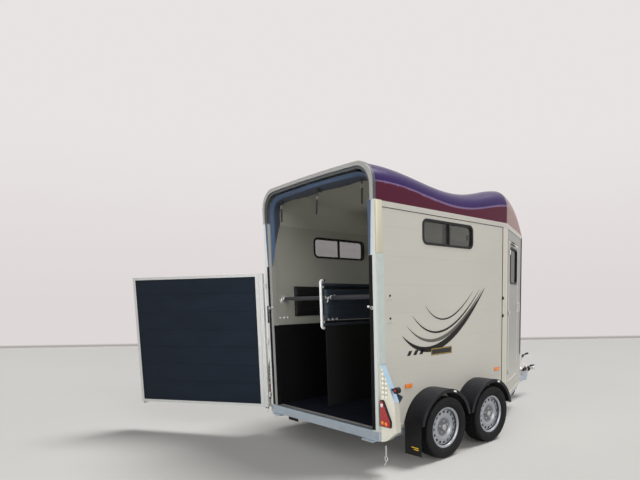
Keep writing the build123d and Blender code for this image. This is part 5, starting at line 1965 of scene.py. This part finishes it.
@dataclass
class Padding:
    """One padded piece: a block that is remeshed, blown up as cloth and then quilted."""

    name: str
    nodes: tuple[str, ...]
    finish: Finish
    voxel: float
    cap: float
    fill: float
    shrink: float = 0.006
    channel: float = 0.0
    frames: int = 20
    pressure: float = 4.0

    def build(self) -> None:
        """Copy the CAD solids, shrink them, remesh, inflate with a cap and quilt."""
        mesh = bpy.data.meshes.new_from_object(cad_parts[self.nodes[0]])
        self.write(mesh, self.read(mesh, "co").astype(float) - self.read(mesh, "normal") * self.shrink)
        made = link(self.name, mesh)
        mesh.materials.clear()
        mesh.materials.append(self.finish.material())
        self.apply(made, "REMESH", {"mode": "VOXEL", "voxel_size": self.voxel, "use_smooth_shade": True})
        self.inflate(made)
        self.apply(made, "SUBSURF", {"levels": 1, "render_levels": 1})
        self.quilt(made)
        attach(made, "trailer")
        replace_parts(made, *self.nodes)
        log.info("%s built", self.name)

    def read(self, mesh: bpy.types.Mesh, name: str) -> np.ndarray:
        """One vector of every vertex.

        Args:
            mesh: the mesh.
            name: what is read: co or normal.

        Returns:
            The vectors, of shape (n, 3).
        """
        flat = np.empty(len(mesh.vertices) * 3, np.float32)
        mesh.vertices.foreach_get(name, flat)
        return flat.reshape(-1, 3)

    def write(self, mesh: bpy.types.Mesh, points: np.ndarray) -> None:
        """Move every vertex.

        Args:
            mesh: the mesh.
            points: the new places, of shape (n, 3).
        """
        mesh.vertices.foreach_set("co", points.astype(np.float32).ravel())
        mesh.update()

    def apply(self, made: Object, kind: str, settings: dict) -> None:
        """Add a modifier and bake its result into the mesh.

        Args:
            made: the object.
            kind: the modifier's type.
            settings: its own settings.
        """
        modifier = made.modifiers.new(kind.lower(), kind)
        for key, value in settings.items():
            setattr(modifier, key, value)
        self.bake(made)

    def bake(self, made: Object) -> None:
        """Replace the object's mesh by what its modifiers make of it.

        Args:
            made: the object.
        """
        shown = made.evaluated_get(bpy.context.evaluated_depsgraph_get())
        mesh = bpy.data.meshes.new_from_object(shown)
        made.modifiers.clear()
        old = made.data
        made.data = mesh
        bpy.data.meshes.remove(old)
        mesh.polygons.foreach_set("use_smooth", np.ones(len(mesh.polygons), bool))

    def inflate(self, made: Object) -> None:
        """Step a Cloth modifier under pressure and cap how far each point moves.

        Args:
            made: the object.
        """
        before = self.read(made.data, "co")
        cloth = made.modifiers.new("cloth", "CLOTH")
        cloth.settings.use_pressure = True
        cloth.settings.uniform_pressure_force = self.pressure
        cloth.settings.effector_weights.gravity = 0.0
        cloth.settings.quality = 4
        cloth.point_cache.frame_start = 1
        cloth.point_cache.frame_end = self.frames
        for number in range(1, self.frames + 1):
            bpy.context.scene.frame_set(number)
        self.bake(made)
        bpy.context.scene.frame_set(1)
        move = self.read(made.data, "co") - before
        length = np.linalg.norm(move, axis=1)[:, None]
        self.write(made.data, before + move * np.minimum(1.0, self.cap / np.maximum(length, 1e-9)))

    def quilt(self, made: Object) -> None:
        """Draw the faces in along sewn channels, deepest on each line and nothing between.

        Args:
            made: the object.
        """
        if not self.channel:
            return
        points = self.read(made.data, "co")
        low, high = points[:, 2].min(), points[:, 2].max()
        count = max(2, round((high - low) / self.channel))
        phase = (points[:, 2] - low) / (high - low) * count
        near = np.exp(-((phase - np.round(phase)) * (high - low) / count / 0.006) ** 2)
        near[(phase < 0.5) | (phase > count - 0.5)] = 0.0
        self.write(made.data, points - self.read(made.data, "normal") * (near * 0.005)[:, None])


@dataclass
class Curtain(SubAssembly):
    """The curtain rolled up under the roof rim, its straps and its edges down the posts."""

    half: float = 0.69
    radius: float = 0.050
    station: float = 0.110
    height: float = 2.629
    turns: float = 3.0
    pitch: float = 0.0065
    strap_places: tuple[float, ...] = (0.65, 0.0, -0.65)
    strap_width: float = 0.028

    def cloth(self, skin: Skin, name: str, finish: Finish) -> Object:
        """Make one cloth piece, in place of the CAD curtain.

        Args:
            skin: its surface.
            name: its name.
            finish: its finish.

        Returns:
            The object.
        """
        made = skin.build(name, finish, "curtain_fabric", sharp=80.0, closed=False)
        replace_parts(made, "curtain")
        return made

    def roll(self) -> None:
        """A spiral of cloth along y: radius = outer - pitch * turns left, with creases and a sag."""
        turn = np.linspace(0, 1, 150)[:, None]
        across = np.linspace(-self.half, self.half, 90)[None, :]
        angle = turn * self.turns * math.tau + 0.6
        crease = 0.0016 * np.sin(across * 61 + angle * 2.0) * np.sin(across * 23 + 1.3) + 0.001 * np.sin(across * 140)
        radius = self.radius - self.pitch * self.turns * (1 - turn) + crease * turn
        sag = 0.010 * np.sin(math.pi * across / 0.65) ** 2
        x = self.station + radius * np.cos(angle)
        z = self.height + radius * np.sin(angle) - sag + 0 * turn
        y = across + 0.004 * np.sin(angle * 1.7) + 0 * turn
        made = self.cloth(Skin().grid(row(x, y, z)), "curtain_roll", Finishes.roll)

    def straps(self) -> None:
        """Webbing under the roll, each with a free end that hangs down, and a small buckle."""
        skin, buckle = Skin(), Skin()
        for index, place in enumerate(self.strap_places):
            bend = np.radians(np.linspace(100, 270, 24))
            path_x = self.station + (self.radius + 0.003) * np.cos(bend)
            path_z = self.height - 0.004 + (self.radius + 0.005) * np.sin(bend)
            end_x = np.linspace(path_x[12], path_x[12] - 0.004, 16)
            drop = np.linspace(path_z[12], self.height - 0.27, 16)
            slant = (0.0, 0.030, 0.006)[index]
            for line_x, line_z, lean in ((path_x, path_z, 0.0), (end_x, drop, slant)):
                lean_y = np.linspace(0, lean, len(line_x))
                side = np.linspace(-1.0, 1.0, 5)
                skin.grid(row(line_x[:, None] - 0.0012 * np.cos(side), (place + lean_y)[:, None]
                              + side * self.strap_width / 2, line_z[:, None]))
            buckle.ring(at(end_x[6] - 0.002, place + slant * 0.4, float(drop[6])), (1, 0, 0), 0.014, 0.0022)
        made = skin.build("curtain_straps", Finishes.webbing, "curtain_fabric", closed=False)
        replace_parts(made, "curtain")
        buckle.build("curtain_buckles", Finishes.zinc, "zinc")

    def band(self) -> None:
        """The cloth gathered along the inside of the rim: edge + inward * width * v, with long folds."""
        half = np.array([(0.8062, 1.905), (0.8062, 2.10), (0.8062, 2.355), (0.806, 2.470), (0.792, 2.530),
                         (0.762, 2.575), (0.715, 2.606), (0.640, 2.624), (0.500, 2.630), (0.250, 2.636),
                         (0.0, 2.640)])
        line = np.concatenate([half, half[-2::-1] * [-1, 1]])
        length = np.concatenate([[0], np.cumsum(np.linalg.norm(np.diff(line, axis=0), axis=1))])
        s = np.linspace(0, length[-1], 260)
        edge = np.column_stack([np.interp(s, length, line[:, 0]), np.interp(s, length, line[:, 1])])
        ahead = np.gradient(edge, axis=0)
        kernel = np.ones(9) / 9
        for axis in (0, 1):
            ahead[4:-4, axis] = np.convolve(ahead[:, axis], kernel, "valid")
        ahead /= np.linalg.norm(ahead, axis=1)[:, None]
        inward = np.column_stack([-ahead[:, 1], ahead[:, 0]])
        near_end = np.minimum(s, length[-1] - s)
        width = 0.008 + 0.052 * np.clip(near_end / 0.45, 0, 1) ** 0.8
        v = np.linspace(0, 1, 17)
        wide = width[:, None]
        fold = 0.006 * np.sin(v * 9.0 + 0.6 * np.sin(s * 5.0)[:, None]) * np.clip(wide / 0.05, 0, 1)
        flat = edge[:, None, :] + inward[:, None, :] * (wide * v)[..., None]
        x = 0.004 + 0.085 * v * np.clip(wide / 0.06, 0, 1) ** 2 + fold
        made = self.cloth(Skin().grid(row(x, flat[..., 0], flat[..., 1])), "curtain_band", Finishes.curtain)
        drop = np.linspace(0, 1, 24)[:, None]
        across = np.linspace(0, 1, 5)[None, :]
        y = 0.8085 + (0.043 - 0.020 * drop) * across
        face = Skin().grid(row(-0.0318 - 0.0012 * np.sin(across * math.pi), y, 2.353 - 0.450 * drop))
        made = self.cloth(face.mirrored(), "curtain_edges", Finishes.curtain)

    def build(self) -> None:
        """Make the cloth pieces."""
        self.straps()
        self.roll()
        self.band()


@dataclass
class Interior(SubAssembly):
    """Floor, lining, partition, pads and bars."""

    finishes = {Finishes.floor: ("floor_board",), Finishes.lining: ("kick_lining",),
                Finishes.partition: ("partition_frame",), Finishes.rubber: ("partition_skirt",),
                Finishes.bright: ("bar_brackets",)}

    def fittings(self) -> None:
        """Eyelets, clips and short chains by the bars' ends, and the threshold strip."""
        skin = Skin()
        inner = HALF_BODY - WALL
        for x in (0.10, 0.15, 0.20):
            skin.turned([(0, 0), (0.013, 0), (0.013, 0.004), (0.007, 0.009), (0, 0.010)],
                        at(x, inner - 0.0005, 1.34), OUTWARD, 16)
            skin.ring(at(x + 0.02, -0.026, 1.335), (0, 1, 0), 0.010, 0.003)
        for index, share in enumerate(np.linspace(0, 1, 7)):
            axis = (0, 1, 0) if index % 2 else (0, 0, 1)
            sag = 0.018 * math.sin(math.pi * share)
            for y, z in ((-0.030, 1.56 - sag), (inner - 0.012, 1.53 + 0.01 * share)):
                skin.ring(at(0.085 + 0.05 * share, y, z), axis, 0.0075, 0.0018, 14)
        for y in (-0.032, inner - 0.014):
            skin.block(at(0.145, y - 0.008, 1.545), at(0.185, y + 0.008, 1.575), 0.006)
            skin.ring(at(0.195, y, 1.566), (0, 1, 0), 0.012, 0.003)
            skin.tube(row([0.10, 0.112, 0.116], y, [1.505, 1.525, 1.56]), 0.004, 8)
        for edge in (-0.806, 0.806):
            skin.turned([(0, 0), (0.008, 0), (0.008, 0.020), (0.012, 0.022), (0.012, 0.027), (0, 0.029)],
                        at(-0.020, edge, 1.462), (0, -np.sign(edge), 0), 16)
            skin.ring(at(-0.033, edge * 1.04, 1.452), (1, 0, 0), 0.013, 0.0025)
        skin.build("stall_fittings", Finishes.bright, "zinc")
        strip = Skin().block(at(0.032, -0.80, 0.3652), at(0.062, 0.80, 0.3682), 0.001)
        strip.build("threshold_strip", Finishes.rail, "anodised")
        lever = Skin().block(at(-0.0325, 0.860, 1.285), at(-0.0295, 0.890, 1.475), 0.001)
        lever.block(at(-0.0335, 0.866, 1.30), at(-0.0315, 0.884, 1.40), 0.0008)
        lever.build("post_lever", Finishes.chock, "black_plastic")

    def build(self) -> None:
        """Make the pads, the bars and the fittings."""
        Padding("padded_bars_cover", ("padded_bars",), Finishes.bar_vinyl, 0.007, 0.007, 0.9, 0.005).build()
        Padding("partition_pad_cover", ("partition_pad",), Finishes.vinyl, 0.010, 0.009, 0.7, 0.006,
                channel=0.109).build()
        Padding("wall_pads_cover", ("wall_pads",), Finishes.dark_vinyl, 0.011, 0.008, 0.7, 0.006,
                channel=0.12).build()
        self.fittings()


@dataclass
class Drawbar(SubAssembly):
    """Coupling, levers and the jockey wheel."""

    lanyard_top: Triple = (-0.034, -0.985, 0.262)
    links: int = 9
    link_pitch: float = 0.0105
    finishes = {Finishes.zinc: ("coupling_head", "coupling_housing", "handbrake_lever", "jockey_crank", "jockey_fork",
                                "jockey_tube"),
                Finishes.black: ("coupling_handle",), Finishes.rubber: ("bellows", "jockey_wheel")}

    def grips(self) -> None:
        """Ribbed black sleeves on the handbrake lever and the jockey crank."""
        corners = row([3.930, 3.968, 4.098], 0.034, [0.591, 0.636, 0.643])
        t = np.linspace(0, 1, 25)[:, None]
        first = corners[0] + (corners[1] - corners[0]) * t[:20]
        second = corners[1] + (corners[2] - corners[1]) * t
        path = np.concatenate([first, second[2:]])
        ribs = 0.0158 + 0.0009 * np.abs(np.sin(np.linspace(0, 14 * math.pi, len(path))))
        skin = Skin().tube(path, ribs, 16)
        grip = [(0, 0), (0.0136, 0), (0.0142, 0.012), (0.0134, 0.030), (0.0142, 0.050), (0.0138, 0.073), (0, 0.076)]
        skin.build("lever_grip", Finishes.black, "black_plastic")
        crank = Skin().turned(grip, at(3.9, 0.128, 0.6085), (0, 0, 1), 24)
        crank.build("crank_grip", Finishes.black, "black_plastic")

    def chain(self) -> None:
        """A short chain with a spring clip that hangs straight down from the lamp bracket."""
        x, y, z = self.lanyard_top
        skin = Skin()
        for index in range(self.links):
            axis = (1, 0, 0) if index % 2 else (0, 1, 0)
            skin.ring(at(x, y, z - 0.006 - self.link_pitch * index), axis, 0.0066, 0.0013, 14)
        bend = np.radians(np.linspace(-200, 150, 40))
        hook = row(x, y + 0.016 * np.cos(bend), z - 0.118 + 0.020 * np.sin(bend))
        skin.tube(hook, 0.0028, 8, up=(1, 0, 0))
        pin = row(x, y + np.array([-0.012, 0.004, 0.024]), z - np.array([0.125, 0.150, 0.182]))
        skin.tube(pin, 0.0032, 8, up=(1, 0, 0))
        skin.build("clip_chain", Finishes.bright, "zinc")

    def bolts(self) -> None:
        """Bolt heads on the housing and the coupling, and a clamp handle by the jockey tube."""
        skin = Skin()
        for side in (-1.0, 1.0):
            skin.studs(row([3.69, 3.79, 3.90], side * 0.050, 0.372), (0, side, 0), 0.010, 0.008, 6)
            skin.studs(row(4.115, side * 0.027, 0.406), (0, side, 0), 0.008, 0.006, 6)
        skin.tube(row([3.772, 3.74, 3.70], 0.150, [0.40, 0.41, 0.43]), 0.006, 10)
        skin.build("coupling_bolts", Finishes.zinc, "zinc")
        plug = Skin().turned([(0, 0), (0.020, 0), (0.022, 0.004), (0.022, 0.030), (0.027, 0.034), (0.027, 0.046),
                              (0.023, 0.050), (0.019, 0.075), (0.012, 0.084), (0, 0.086)], at(3.79, -0.078, 0.425),
                             (1, 0, 0.15), 24)
        plug.block(at(3.80, -0.062, 0.395), at(3.85, -0.048, 0.425), 0.003)
        plug.build("plug_holder", Finishes.black, "black_plastic")
        # Painted highlights: small bright domes and a ring on the coupling's side stand for glints of light.
        shine = Skin()
        for x, y, z, size in ((3.72, -0.058, 0.44, 0.018), (3.93, -0.040, 0.452, 0.016), (3.985, 0.040, 0.47, 0.014),
                              (3.69, -0.052, 0.47, 0.013)):
            shine.turned([(0, 0), (size, 0), (size, size * 0.6), (size * 0.6, size), (0, size * 1.1)], at(x, y, z),
                         (0, -1, 0.2), 18)
        shine.ring(at(3.745, -0.066, 0.445), (0.2, 1, 0), 0.020, 0.0032)
        shine.build("coupling_painted_glints", Finishes.bright, "zinc")

    def build(self) -> None:
        """Make the grips, the clip on its chain and the bolts."""
        self.grips()
        self.chain()
        self.bolts()


def main() -> None:
    """Build the studio and every part of the trailer, in order."""
    logging.basicConfig(level=logging.INFO, format="%(message)s")
    camera = PhotoCamera()
    camera.build()
    Studio().build(camera)
    for part in (Bodywork(), Markings(), Roof(), Windows(), RunningGear(), Lamps(), RearDoor(), Curtain(), Interior(),
                 Drawbar()):
        part.build()
        part.dress()
        log.info("%s built and dressed", type(part).__name__)


if __name__ == "__main__":
    main()
